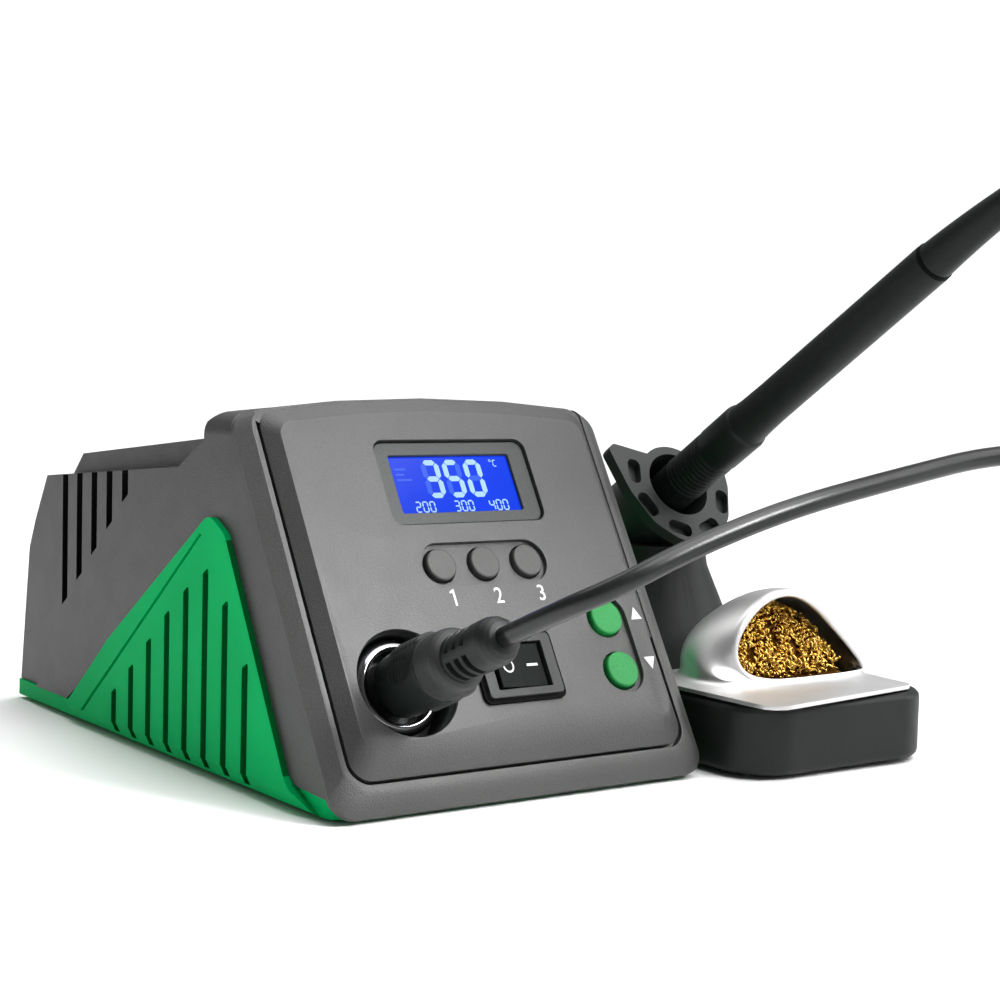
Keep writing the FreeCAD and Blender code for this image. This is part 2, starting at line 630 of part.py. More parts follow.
def make_main_board():
    """Power board with its heat sink, triac, capacitors and terminal block."""
    place = STATION * Placement(Vector(0, 0, 9.0), Rotation())
    board = new_body("main_board", place)
    pad(board, draw(new_sketch(board), rectangle(-42.0, 24.0, 84.0, 64.0), 2.0), 1.6)
    for x, y, _ in BOARD_POSTS:
        cut(board, draw_circle(new_sketch(board, shift=-1.0), x, y, 1.6), 5.0, back=True)
    keep(board)
    sink = new_body("heat_sink", place)
    comb = [(-16.0, 1.6), (16.0, 1.6), (16.0, 26.0), (14.4, 26.0), (14.4, 4.6), (9.0, 4.6), (9.0, 22.0), (7.4, 22.0),
            (7.4, 4.6), (-7.4, 4.6), (-7.4, 22.0), (-9.0, 22.0), (-9.0, 4.6), (-14.4, 4.6), (-14.4, 26.0),
            (-16.0, 26.0)]
    sink_place = draw(new_sketch(sink, "XZ_Plane", -50.0), comb)
    pad(sink, sink_place, 24.0, back=True)
    keep(sink)
    triac = new_body("triac", place)
    pad(triac, draw(new_sketch(triac, "XY_Plane", 4.6), rectangle(-5.0, 54.0, 10.0, 4.6)), 15.0)
    keep(triac)
    shapes = []
    for x in (-30.0, 30.0):
        can = Part.makeCylinder(8.0, 22.0, Vector(x, 60.0, 10.6))
        can.Placement = STATION * can.Placement
        shapes.append(can)
    group("capacitors", shapes)
    block = new_body("terminal_block", place)
    pad(block, draw(new_sketch(block, shift=1.6), rectangle(-20.0, 77.0, 40.0, 9.0)), 10.0)
    for index in range(4):
        mouth = rectangle(-18.4 + index * 9.6, 4.0, 5.6, 4.6)
        cut(block, draw(new_sketch(block, "XZ_Plane", -84.0), mouth), 5.0, back=True)
    keep(block)


def make_ribbon():
    """Flat cable from the main board up to the back of the control board."""
    body = new_body("ribbon_cable", STATION)
    lean = math.radians(S.panel_lean)
    out = Vector(0, math.cos(lean), -math.sin(lean))
    slope = Vector(0, math.sin(lean), math.cos(lean))
    foot = Vector(0, -S.panel_foot, 0) + slope * 40.0 + out * (S.board_level + 1.65)
    head = foot + slope
    side = [(31.0, 10.65), (32.0, 10.65), (32.0, 22.4), (30.4, 25.2), (head.y, head.z), (foot.y, foot.z),
            (29.7, 24.3), (31.0, 22.0)]
    pad(body, draw(new_sketch(body, "YZ_Plane", 26.0), side), 14.0)
    keep(body)


# ---------------------------------------------------------------- rear of the station
def make_rear():
    """Rear panel with the mains inlet, its pins, the fuse drawer and the fuse."""
    panel = new_body("rear_panel", REAR)
    pad(panel, draw(new_sketch(panel, shift=0.3), rectangle(-33.7, 1.4, 67.4, 29.4), 1.0), 2.2)
    pad(panel, draw(new_sketch(panel, shift=3.0), rectangle(-36.5, -0.6, 73.0, 33.6), 1.0), 1.6)
    pad(panel, draw(new_sketch(panel, shift=2.0), rectangle(-33.7, 1.4, 67.4, 29.4), 1.0), 1.2)
    window = rectangle(INLET_X - 13.7, 3.3, 27.4, 25.4)
    cut(panel, draw(new_sketch(panel, shift=-5.0), window), 20.0, back=True)
    keep(panel)
    inlet = new_body("mains_inlet", REAR)
    pad(inlet, draw(new_sketch(inlet, shift=-1.6), rectangle(INLET_X - 15.5, 1.8, 31.0, 28.4), 1.5), 1.8)
    pad(inlet, draw(new_sketch(inlet, shift=0.0), rectangle(INLET_X - 13.5, 3.5, 27.0, 25.0)), 22.0)
    mouth = [(INLET_X - 12.0, 11.6), (INLET_X + 12.0, 11.6), (INLET_X + 12.0, 22.6), (INLET_X + 7.6, 27.2),
             (INLET_X - 7.6, 27.2), (INLET_X - 12.0, 22.6)]
    cut(inlet, draw(new_sketch(inlet, shift=-5.0), mouth), 19.0, back=True)
    drawer_mouth = rectangle(INLET_X - 10.0, 3.9, 20.0, 6.6)
    cut(inlet, draw(new_sketch(inlet, shift=-5.0), drawer_mouth), 24.0, back=True)
    keep(inlet)
    shapes = []
    for x, y in ((-7.0, 16.0), (7.0, 16.0), (0.0, 20.2)):
        pin = Part.makeBox(2.0, 4.0, 20.0, Vector(INLET_X + x - 1.0, y - 2.0, 2.0))
        pin.Placement = REAR
        shapes.append(pin)
    group("inlet_pins", shapes)
    drawer = new_body("fuse_drawer", REAR)
    pad(drawer, draw(new_sketch(drawer, shift=-2.4), rectangle(INLET_X - 9.7, 4.2, 19.4, 6.0), 0.5), 19.0)
    cut(drawer, draw(new_sketch(drawer, shift=6.2), rectangle(INLET_X - 8.4, 3.0, 16.8, 6.1)), 5.6, back=True)
    keep(drawer)
    fuse = Part.makeCylinder(2.4, 16.0, Vector(INLET_X - 8.0, 6.6, 9.0), AXIS_X)
    item = doc.addObject("Part::Feature", "fuse")
    item.Label = "fuse"
    item.Shape = fuse
    item.Placement = REAR
    keep(item)


INLET_X = 12.0


# ---------------------------------------------------------------- screws
def screw(head_radius, head_high, shank_radius, shank_long):
    """Pan-head screw, head at the origin and shank along +Z."""
    head = Part.makeCylinder(head_radius, head_high, Vector(0, 0, -head_high))
    return head.fuse(Part.makeCylinder(shank_radius, shank_long))


def make_screws():
    down = Rotation(AXIS_X, 180)
    shapes = []
    for x, y, high in BOARD_POSTS:
        one = screw(2.8, 1.6, 1.4, 5.0)
        one.Placement = STATION * Placement(Vector(x, y, high + 1.6), down)
        shapes.append(one)
    group("board_screws", shapes)
    shapes = []
    for x, y, high in CASE_POSTS:
        one = screw(2.4, 1.4, 1.4, 8.0)
        one.Placement = STATION * Placement(Vector(x, y, S.floor_low + 1.4), Rotation())
        shapes.append(one)
    group("case_screws", shapes)


# ---------------------------------------------------------------- stand
def make_stand_base():
    """Heavy base block with a well for the wool tray and a hollow underside."""
    body = new_body("stand_base", STAND)
    half = S.base_wide / 2
    plan = rectangle(-half, 0.0, S.base_wide, S.base_long)
    pad(body, draw(new_sketch(body, shift=1.0), plan, [13.0, 13.0, 9.0, 9.0]), "base_high - 1")
    well = rectangle(-24.0, 5.0, 48.0, 42.0)
    cut(body, draw(new_sketch(body, shift=5.0), well, 6.0), 30.0, back=True)
    under = rectangle(-26.0, 52.0, 52.0, 68.0)
    cut(body, draw(new_sketch(body, shift=-1.0), under, 4.0), 14.0, back=True)
    return keep(body)


def make_stand_small_parts():
    """Steel ballast in the hollow underside, rubber feet and the tray for the wool."""
    plate = new_body("ballast_plate", STAND)
    pad(plate, draw(new_sketch(plate, shift=4.8), rectangle(-25.6, 52.4, 51.2, 67.2), 3.6), 8.2)
    cut(plate, draw_circle(new_sketch(plate), 0, S.pedestal_back, 5.0), 20.0, back=True)
    keep(plate)
    shapes = []
    for x, y in [(-24.0, 13.0), (24.0, 13.0), (-28.9, 112.0), (28.9, 112.0)]:
        foot = Part.makeCylinder(2.6, 1.0, Vector(x, y, 0))
        foot.Placement = STAND * foot.Placement
        shapes.append(foot)
    group("stand_feet", shapes)
    tray = new_body("wool_tray", STAND)
    pad(tray, draw(new_sketch(tray, shift=5.0), rectangle(-23.7, 5.3, 47.4, 41.4), 5.7), 12.8)
    cut(tray, draw(new_sketch(tray, shift=6.2), rectangle(-22.5, 6.5, 45.0, 39.0), 4.5), 20.0, back=True)
    keep(tray)


HOOD_FRONT = 20.5
DOME_START = 33.5
DOME_LONG = 18.5
PLATE_LEVEL = 18.0


def stretched(shape, x, y, z):
    matrix = FreeCAD.Matrix()
    matrix.scale(Vector(x, y, z))
    return shape.transformGeometry(matrix)


def arched(half, rise, inset, start):
    """Round-topped tunnel along Y, closed by a rounded dome at the rear."""
    middle = Vector(0, DOME_START, 0)
    tail = Vector(0, DOME_START + DOME_LONG - inset, 0)
    side = middle + AXIS_X
    quarter = Part.ArcOfEllipse(Part.Ellipse(tail, side, middle), 0, math.pi / 2).toShape()
    ends = [vertex.Point for vertex in quarter.Vertexes]
    side_end = ends[0] if abs(ends[0].x) > 0.5 else ends[1]
    low = Vector(0, start, 0)
    corner = Vector(side_end.x, start, 0)
    edges = [Part.makeLine(low, corner), Part.makeLine(corner, side_end), quarter, Part.makeLine(tail, low)]
    profile = Part.Face(Part.Wire(Part.sortEdges(edges)[0]))
    shape = stretched(profile.revolve(Vector(), Vector(0, 1, 0), 360), half, 1.0, rise)
    shape.translate(Vector(0, 0, PLATE_LEVEL + 1.0))
    return shape


def before_mouth(back):
    """Everything in front of the hood's mouth, whose plane leans back over the wool."""
    block = Part.makeBox(120, 60, 120, Vector(-60, -60, -60))
    block.rotate(Vector(0, 0, 0), AXIS_X, -S.mouth_lean)
    block.translate(Vector(0, HOOD_FRONT + back, PLATE_LEVEL))
    return block


def make_cleaner_hood():
    """Bright sheet-metal cover: flat plate and an arched hood whose mouth leans back over the wool."""
    thick = S.hood_sheet
    plate_points = [(-31.0, -5.0), (25.5, 3.2), (28.0, 49.4), (-32.0, 49.4)]
    edges = [piece.toShape() for piece in outline(plate_points, [5.0, 4.0, 4.0, 4.0])]
    plate = Part.Face(Part.Wire(edges)).extrude(Vector(0, 0, 1.6))
    plate.translate(Vector(0, 0, PLATE_LEVEL + 0.05))
    below = Part.makeBox(200, 200, 100, Vector(-100, -100, PLATE_LEVEL - 100 + 0.05))
    outer = arched(S.hood_half, S.hood_rise, 0.0, 5.0).cut(before_mouth(0.0)).cut(below)
    inner = arched(S.hood_half - thick, S.hood_rise - thick, thick, HOOD_FRONT)
    shell = plate.fuse(outer).cut(inner)
    item = doc.addObject("Part::Feature", "cleaner_hood")
    item.Label = "cleaner_hood"
    item.Shape = shell
    item.Placement = STAND
    keep(item)


def make_wool():
    """Lump of brass wool that stands in the tray and fills the hood up to its mouth."""
    gap = S.hood_sheet + 1.0
    lump = arched(S.hood_half - gap, S.hood_rise - gap, gap, HOOD_FRONT).cut(before_mouth(2.5))
    below = Part.makeBox(200, 200, 100, Vector(-100, -100, PLATE_LEVEL - 100 + 1.0))
    lump = lump.cut(below)
    neck = Part.makeBox(42.0, 18.2, 3.0, Vector(-21.0, HOOD_FRONT + 0.4, PLATE_LEVEL - 1.5))
    foot = Part.makeBox(41.0, 35.5, PLATE_LEVEL - 0.4 - 6.3, Vector(-20.5, 8.5, 6.3))
    item = doc.addObject("Part::Feature", "brass_wool")
    item.Label = "brass_wool"
    item.Shape = lump.multiFuse([neck, foot])
    item.Placement = STAND
    keep(item)


def make_pedestal():
    """Flared round pedestal that carries the holder, with a saddle for it."""
    body = new_body("pedestal", STAND * Placement(Vector(0, S.pedestal_back, S.base_high), Rotation()))
    spin(body, [(0, 0), (27.0, 0), (26.0, 2.0), (22.6, 10.0), (20.3, 15.6), (18.0, 21.0), (15.9, 26.0), (15.0, 32.0),
                (0, 32.0)])
    saddle = Part.makeCylinder(CUP_RADIUS + 0.05, 120.0, Vector(0, 0, -90.0))
    saddle.Placement = FUNNEL
    tool = doc.addObject("Part::Feature", "saddle_tool")
    tool.Shape = saddle
    item = doc.addObject("Part::Cut", "pedestal_saddled")
    item.Base = body
    item.Tool = tool
    body.Label = "pedestal_blank"
    item.Label = "pedestal"
    doc.recompute()
    return keep(item)


CUP_RADIUS = 12.0
CUP_LONG = 34.0


def make_holder():
    """Iron holder: slotted shield-shaped flange on a cup, and the metal heat tube behind it."""
    body = new_body("iron_holder", FUNNEL)
    radius = S.flange_radius
    shield = [(-19.6, 11.4), (-17.6, -1.3), (-13.4, -11.2), (-6.0, -17.4), (6.0, -17.4), (13.4, -11.2), (17.6, -1.3),
              (19.6, 11.4), (17.6, 13.2), (6.2, 9.6), (-6.2, 9.6), (-17.6, 13.2)]
    rounding = [1.5, 8.0, 8.0, 8.0, 8.0, 8.0, 8.0, 1.5, 1.5, 0.5, 0.5, 1.5]
    pad(body, draw(new_sketch(body, shift=-S.flange_thick), shield, rounding), "flange_thick")
    pad(body, draw_circle(new_sketch(body, shift=-CUP_LONG), 0, 0, CUP_RADIUS), CUP_LONG - 0.2)
    pad(body, draw_circle(new_sketch(body, shift=-6.0), 0, 0, 11.2), 6.0)
    cut(body, draw_circle(new_sketch(body, shift=-16.0), 0, 0, "funnel_bore"), 20.0, back=True)
    cut(body, draw_circle(new_sketch(body, shift=-CUP_LONG - 2), 0, 0, 7.3), CUP_LONG, back=True)
    for angle in (18, 162, 204, 249, 291, 336):
        turn = math.radians(angle)
        centre = Vector(14.4 * math.cos(turn), 14.4 * math.sin(turn), 0)
        slot = rectangle(-2.0, -3.75, 4.0, 7.5)
        points = [Rotation(AXIS_Z, angle).multVec(Vector(*point, 0)) + centre for point in slot]
        sketch = draw(new_sketch(body, shift=-2.5), [(p.x, p.y) for p in points], 1.8)
        cut(body, sketch, 6.0, back=True)
    keep(body)
    tube = new_body("heat_tube", FUNNEL)
    spin(tube, [(5.6, -17.0), (7.2, -17.0), (7.2, -66.0), (0, -66.0), (0, -64.6), (5.6, -64.6)])
    keep(tube)


def make_holder_screw():
    one = screw(3.4, 2.0, 1.6, 16.0)
    item = doc.addObject("Part::Feature", "holder_screw")
    item.Label = "holder_screw"
    item.Shape = one
    item.Placement = STAND * Placement(Vector(0, S.pedestal_back, 13.0), Rotation())
    keep(item)


# ---------------------------------------------------------------- iron
def make_iron():
    """Iron in its holder: grip, handle, rear strain relief, collar, barrel, heater and tip."""
    grip = new_body("iron_grip", FUNNEL)
    front = GRIP_END - S.grip_length
    waist = S.grip_radius - 0.2
    outer = [(3.2, front), (5.0, front), (5.8, front + 2.0), (waist, front + 9.0)]
    level = front + 26.0
    while level < GRIP_END - 2.6:
        outer += [(waist, level), (S.grip_radius, level + 0.3), (S.grip_radius, level + 1.1), (waist, level + 1.4)]
        level += 1.8
    outer += [(S.grip_radius, GRIP_END - 0.6), (6.0, GRIP_END), (3.2, GRIP_END)]
    spin(grip, outer)
    keep(grip)
    handle = new_body("iron_handle", FUNNEL)
    end = GRIP_END + S.handle_length
    spin(handle, [(0, front + 1.0), (3.15, front + 1.0), (3.15, GRIP_END), (5.9, GRIP_END), (5.6, GRIP_END + 4.0),
                  (S.handle_radius, GRIP_END + 12.0), (5.2, end - 1.0), (4.8, end), (0, end)])
    keep(handle)
    middle, tail = RELIEF_LONG / 2, RELIEF_LONG
    bend = Part.Arc(Vector(0, 0, end), Vector(0, -RELIEF_DROP / 4, end + middle), Vector(0, -RELIEF_DROP, end + tail))
    rings = []
    for share, radius in ((0.0, 4.9), (0.55, 3.9), (1.0, 3.2)):
        point = bend.value(bend.FirstParameter + share * (bend.LastParameter - bend.FirstParameter))
        ahead = Vector(*bend.tangent(bend.parameter(point))[0])
        rings.append(Part.Wire([Part.makeCircle(radius, point, ahead)]))
    item = doc.addObject("Part::Feature", "iron_relief")
    item.Label = "iron_relief"
    item.Shape = Part.Wire([bend.toShape()]).makePipeShell(rings, True, False)
    item.Placement = FUNNEL
    keep(item)
    collar = new_body("iron_collar", FUNNEL)
    spin(collar, [(0, front + 1.0), (3.0, front + 1.0), (3.0, front), (4.6, front), (4.6, front - 5.0),
                  (3.8, front - 6.0), (0, front - 6.0)])
    keep(collar)
    barrel = new_body("iron_barrel", FUNNEL)
    spin(barrel, [(2.2, front - 6.0), (3.0, front - 6.0), (3.0, front - 30.0), (2.2, front - 30.0)])
    keep(barrel)
    heater = new_body("iron_heater", FUNNEL)
    spin(heater, [(0, front - 6.0), (1.9, front - 6.0), (1.9, front - 29.0), (0, front - 29.0)])
    keep(heater)
    tip = new_body("iron_tip", FUNNEL)
    spin(tip, [(0, front - 30.0), (3.0, front - 30.0), (3.0, front - 36.0), (0.4, front - 45.0), (0, front - 45.0)])
    keep(tip)
    ahead = Vector(*bend.tangent(bend.LastParameter)[0])
    return FUNNEL.multVec(Vector(0, -RELIEF_DROP, end + tail)), FUNNEL.Rotation.multVec(ahead)


GRIP_END = 32.0
RELIEF_LONG = 39.0
RELIEF_DROP = 2.5


# ---------------------------------------------------------------- cord
def cord_tube(points):
    """Plain tube along straight runs joined by tangent arcs."""
    radius = S.cord_diameter / 2
    places = [Vector(*point) for point in points]
    edges = []
    start = places[0]
    for before, corner, after in zip(places, places[1:], places[2:]):
        back, ahead = (before - corner), (after - corner)
        turn = math.pi - back.getAngle(ahead)
        bend = 0.45 * min(back.Length, ahead.Length) / math.tan(turn / 2)
        reach = bend * math.tan(turn / 2)
        back.normalize()
        ahead.normalize()
        entry, leave = corner + back * reach, corner + ahead * reach
        inward = (back + ahead).normalize() * (bend / math.cos(turn / 2) - bend)
        edges += [Part.makeLine(start, entry), Part.Arc(entry, corner + inward, leave).toShape()]
        start = leave
    edges.append(Part.makeLine(start, places[-1]))
    path = Part.Wire(edges)
    ring = Part.Wire([Part.makeCircle(radius, places[0], places[1] - places[0])])
    tube = path.makePipeShell([ring], True, False)
    if abs(tube.Volume / (math.pi * radius**2 * path.Length) - 1) > 0.01:
        raise RuntimeError("the cord's tube folds into itself")
    return tube


def cord_piece(label, shape):
    item = doc.addObject("Part::Feature", label)
    item.Label = label
    item.Shape = shape
    return keep(item)


def make_cord(iron_exit, iron_ahead):
    """Lead from the plug to the coil, the tied coil, and the riser from the coil to the iron."""
    across, wide, high = S.coil_across / 2, S.coil_wide / 2, S.coil_high
    coil = new_body("cord_coil", STATION * Placement(Vector(*COIL_CENTRE, 0), Rotation()))
    spin(coil, rectangle(across - wide, 0, 2 * wide, high), 2.0)
    keep(coil)
    tie = new_body("cord_tie", STATION * Placement(Vector(*COIL_CENTRE, 0), Rotation(AXIS_Z, -90)))
    band = rectangle(across - wide - 1.2, 0.0, 2 * wide + 2.1, high + 0.9)
    pad(tie, draw(new_sketch(tie, "XZ_Plane"), band, [0, 0, 1.5, 1.5]), 6.0, midplane=True)
    hole = rectangle(across - wide - 0.3, -1.0, 2 * wide + 0.35, high + 1.05)
    cut(tie, draw(new_sketch(tie, "XZ_Plane"), hole, [0, 0, 1.2, 1.2]), 8.0, midplane=True)
    keep(tie)
    plug_end = S.plug_length + S.relief_length
    lead = [PLUG.multVec(Vector(0, 0, plug_end)), PLUG.multVec(Vector(0, 0, plug_end + LEAD_STRAIGHT))]
    lead += [STATION.multVec(Vector(*point)) for point in LEAD_ROUTE]
    cord_piece("cord_lead", cord_tube(lead).cut(coil.Shape))
    riser = [iron_exit, iron_exit + iron_ahead * RISER_STRAIGHT]
    riser += [STATION.multVec(Vector(*point)) for point in RISER_ROUTE]
    below = Part.makeBox(1000, 1000, 100, Vector(-500, -500, high - 100))
    cord_piece("cord_riser", cord_tube(riser).cut(below))


COIL_CENTRE = (94.0, -122.0)
LEAD_STRAIGHT = 20.0
LEAD_ROUTE = [(-20.2, -54.6, 57.0), (-4.6, -56.7, 63.8), (21.7, -57.6, 71.4), (53.8, -56.7, 76.8), (89.0, -55.6, 82.2),
              (124.0, -64.0, 82.0), (137.0, -81.0, 63.0), (136.5, -94.0, 36.0), (129.0, -105.0, 12.0),
              (123.6, -120.0, 2.6)]
RISER_STRAIGHT = 18.0
RISER_ROUTE = [(88.0, -105.0, 153.0), (82.0, -118.0, 135.0), (75.0, -119.0, 108.0), (69.0, -112.0, 82.0),
               (65.5, -103.0, 56.0), (64.0, -98.0, 32.0), (64.7, -110.0, 13.0), (64.7, -124.0, 6.0)]


# ---------------------------------------------------------------- make everything
make_top_shell()
make_bottom_shell()
make_front_frame()
make_front_panel()
make_station_feet()
make_display()
make_buttons()
make_control_board()
make_rocker_switch()
make_socket()
make_plug()
make_transformer()
make_main_board()
make_ribbon()
make_rear()
make_screws()
make_stand_base()
make_stand_small_parts()
make_cleaner_hood()
make_wool()
make_pedestal()
make_holder()
make_holder_screw()
make_cord(*make_iron())

doc.recompute()
for item in doc.Objects:
    if "Invalid" in item.State or "Error" in item.State:
        raise RuntimeError(f"{item.Label} is in state {item.State}")
os.makedirs("parts", exist_ok=True)
for item in exports:
    if item.Shape.isNull() or not item.Shape.isValid():
        raise RuntimeError(f"{item.Label} has no valid shape")
    print(item.Label, len(item.Shape.Solids), round(item.Shape.Volume))
    item.Shape.exportStep(f"parts/{item.Label}.step")
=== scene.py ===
import json
import math
import random

import bmesh
import bpy
from mathutils import Matrix, Vector
from mathutils import noise as noise_module
from mathutils.bvhtree import BVHTree


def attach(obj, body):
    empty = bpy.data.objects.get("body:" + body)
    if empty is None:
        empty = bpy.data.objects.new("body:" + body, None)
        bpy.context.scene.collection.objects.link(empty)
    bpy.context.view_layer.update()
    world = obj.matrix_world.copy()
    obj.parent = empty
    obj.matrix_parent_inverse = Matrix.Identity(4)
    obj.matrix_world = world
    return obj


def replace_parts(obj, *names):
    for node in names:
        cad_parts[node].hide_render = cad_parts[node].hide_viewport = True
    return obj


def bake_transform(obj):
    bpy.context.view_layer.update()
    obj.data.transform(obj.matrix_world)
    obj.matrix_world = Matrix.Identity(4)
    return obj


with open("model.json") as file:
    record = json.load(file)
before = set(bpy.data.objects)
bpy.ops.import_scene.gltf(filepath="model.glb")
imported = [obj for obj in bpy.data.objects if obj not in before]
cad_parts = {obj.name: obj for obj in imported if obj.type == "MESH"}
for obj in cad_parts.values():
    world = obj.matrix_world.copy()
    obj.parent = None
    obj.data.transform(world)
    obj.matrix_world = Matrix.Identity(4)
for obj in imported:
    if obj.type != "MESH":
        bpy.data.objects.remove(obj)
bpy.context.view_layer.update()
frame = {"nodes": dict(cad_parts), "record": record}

random.seed(7)
NODES = frame["nodes"]
BODY_OF = {node: body for body, nodes in frame["record"]["behaviour"]["bodies"].items() for node in nodes}

# ---------------------------------------------------------------- frames, in metres
MM = 0.001
LEAN = math.radians(30.74)
PLUG_LIFT = math.radians(22.8)
FUNNEL_LIFT = math.radians(33.6)
STATION = Matrix.Translation((-0.0336, -0.0534, 0.0))
STAND = Matrix.Translation((0.0554, -0.0664, 0.0))
PANEL = STATION @ Matrix.Translation((0, -0.00751, 0)) @ Matrix.Rotation(math.pi / 2 - LEAN, 4, "X")
SOCKET_SPOT = Vector((-0.0281, 0.0329, 0))
SOCKET = PANEL @ SOCKET_SPOT
PLUG = Matrix.Translation(SOCKET) @ Matrix.Rotation(math.pi / 2 - PLUG_LIFT, 4, "X")
FUNNEL = STAND @ Matrix.Translation((0, 0.0685, 0.0667)) @ Matrix.Rotation(math.pi / 2 - FUNNEL_LIFT, 4, "X")


# ---------------------------------------------------------------- camera, floor and light
LENS = 71.37
SENSOR = 36.0
CAMERA_PLACE = (-0.3009, -0.40894, 0.10414)
CAMERA_AHEAD = (0.58282, 0.80873, -0.07926)
CAMERA_RIGHT = (0.81223, -0.58274, 0.02646)
AMBIENT_COLOR = (0.97, 0.98, 1.0, 1)
AMBIENT_LEFT = 0.06
AMBIENT_RIGHT = 0.50
BACKDROP = 1.05
FLOOR_REACH = 30
SUN_POWER = 3.1
SUN_ANGLE = math.radians(50)
SUN_TOWARD = (0.28, -0.25, 1.0)
# name, place, point it is aimed at, width and height in metres, watts, beam in degrees
SOFTBOXES = (("front_box", (0.17, -0.42, 0.34), (-0.055, -0.135, 0.066), (0.14, 0.14), 0.215, 38.0),
             ("top_box", (0.05, 0.35, 0.75), (0, 0, 0.05), (0.9, 0.35), 2.2, 180.0),
             ("left_box", (-0.85, 0.15, 0.45), (-0.05, 0, 0.05), (0.5, 0.5), 0.25, 180.0),
             ("right_box", (0.75, -0.35, 0.30), (0.05, 0, 0.03), (0.35, 0.45), 2.0, 180.0))


def make_camera():
    data = bpy.data.cameras.new("camera")
    data.lens = LENS
    data.sensor_width = SENSOR
    data.clip_start = 0.01
    camera = bpy.data.objects.new("camera", data)
    bpy.context.scene.collection.objects.link(camera)
    ahead = Vector(CAMERA_AHEAD).normalized()
    right = Vector(CAMERA_RIGHT).normalized()
    up = right.cross(ahead)
    turn = Matrix((right, up, -ahead)).transposed().to_4x4()
    camera.matrix_world = Matrix.Translation(CAMERA_PLACE) @ turn
    bpy.context.scene.camera = camera


def soft_light(name, place, aim, size, power, beam):
    data = bpy.data.lights.new(name, "AREA")
    data.shape = "RECTANGLE"
    data.size, data.size_y = size
    data.energy = power
    data.spread = math.radians(beam)
    lamp = bpy.data.objects.new(name, data)
    bpy.context.scene.collection.objects.link(lamp)
    ahead = (Vector(aim) - Vector(place)).to_track_quat("-Z", "Y")
    lamp.matrix_world = Matrix.Translation(place) @ ahead.to_matrix().to_4x4()


def make_studio():
    """White backdrop and floor, light that grows from left to right, a broad soft sun and the softboxes."""
    scene = bpy.context.scene
    scene.view_settings.view_transform = "Standard"
    world = bpy.data.worlds.new("studio")
    scene.world = world
    world.use_nodes = True
    tree = world.node_tree
    ambient = tree.nodes["Background"]
    ambient.inputs["Color"].default_value = AMBIENT_COLOR
    toward = tree.nodes.new("ShaderNodeTexCoord")
    split = tree.nodes.new("ShaderNodeSeparateXYZ")
    tree.links.new(toward.outputs["Generated"], split.inputs["Vector"])
    fade = tree.nodes.new("ShaderNodeMapRange")
    fade.inputs["From Min"].default_value = -1.0
    fade.inputs["From Max"].default_value = 1.0
    fade.inputs["To Min"].default_value = AMBIENT_LEFT
    fade.inputs["To Max"].default_value = AMBIENT_RIGHT
    tree.links.new(split.outputs["X"], fade.inputs["Value"])
    tree.links.new(fade.outputs["Result"], ambient.inputs["Strength"])
    white = tree.nodes.new("ShaderNodeBackground")
    white.inputs["Color"].default_value = (1, 1, 1, 1)
    white.inputs["Strength"].default_value = BACKDROP
    path = tree.nodes.new("ShaderNodeLightPath")
    mix = tree.nodes.new("ShaderNodeMixShader")
    tree.links.new(path.outputs["Is Camera Ray"], mix.inputs["Fac"])
    tree.links.new(ambient.outputs["Background"], mix.inputs[1])
    tree.links.new(white.outputs["Background"], mix.inputs[2])
    tree.links.new(mix.outputs["Shader"], tree.nodes["World Output"].inputs["Surface"])
    mesh = bpy.data.meshes.new("floor")
    corners = [(x * FLOOR_REACH, y * FLOOR_REACH, 0) for x, y in ((-1, -1), (1, -1), (1, 1), (-1, 1))]
    mesh.from_pydata(corners, [], [(0, 1, 2, 3)])
    floor = bpy.data.objects.new("floor", mesh)
    scene.collection.objects.link(floor)
    material = bpy.data.materials.new("pale_floor")
    material.use_nodes = True
    shader = material.node_tree.nodes["Principled BSDF"]
    shader.inputs["Base Color"].default_value = (0.96, 0.96, 0.96, 1)
    shader.inputs["Roughness"].default_value = 0.95
    shader.inputs["Specular IOR Level"].default_value = 0.0
    mesh.materials.append(material)
    data = bpy.data.lights.new("sun", "SUN")
    data.energy = SUN_POWER
    data.angle = SUN_ANGLE
    sun = bpy.data.objects.new("sun", data)
    scene.collection.objects.link(sun)
    sun.matrix_world = Vector(SUN_TOWARD).to_track_quat("Z", "Y").to_matrix().to_4x4()
    for box in SOFTBOXES:
        soft_light(*box)


make_camera()
make_studio()


# ---------------------------------------------------------------- materials
def new_material(name, color, roughness, metallic=0.0):
    material = bpy.data.materials.new(name)
    material.use_nodes = True
    shader = material.node_tree.nodes["Principled BSDF"]
    shader.inputs["Base Color"].default_value = (*color, 1)
    shader.inputs["Roughness"].default_value = roughness
    shader.inputs["Metallic"].default_value = metallic
    return material, material.node_tree, shader


def noise(tree, scale, detail=4.0, stretch=(1, 1, 1)):
    """Noise over the object's own metres."""
    place = tree.nodes.new("ShaderNodeTexCoord")
    mapping = tree.nodes.new("ShaderNodeMapping")
    mapping.inputs["Scale"].default_value = stretch
    texture = tree.nodes.new("ShaderNodeTexNoise")
    texture.inputs["Scale"].default_value = scale
    texture.inputs["Detail"].default_value = detail
    tree.links.new(place.outputs["Object"], mapping.inputs["Vector"])
    tree.links.new(mapping.outputs["Vector"], texture.inputs["Vector"])
    return texture.outputs["Fac"]


def ramp(tree, value, low, high):
    """Colour that goes from low to high over the middle of a noise value's range."""
    node = tree.nodes.new("ShaderNodeValToRGB")
    for element, position, color in zip(node.color_ramp.elements, (0.35, 0.65), (low, high)):
        element.position = position
        element.color = (*color, 1)
    tree.links.new(value, node.inputs["Fac"])
    return node.outputs["Color"]


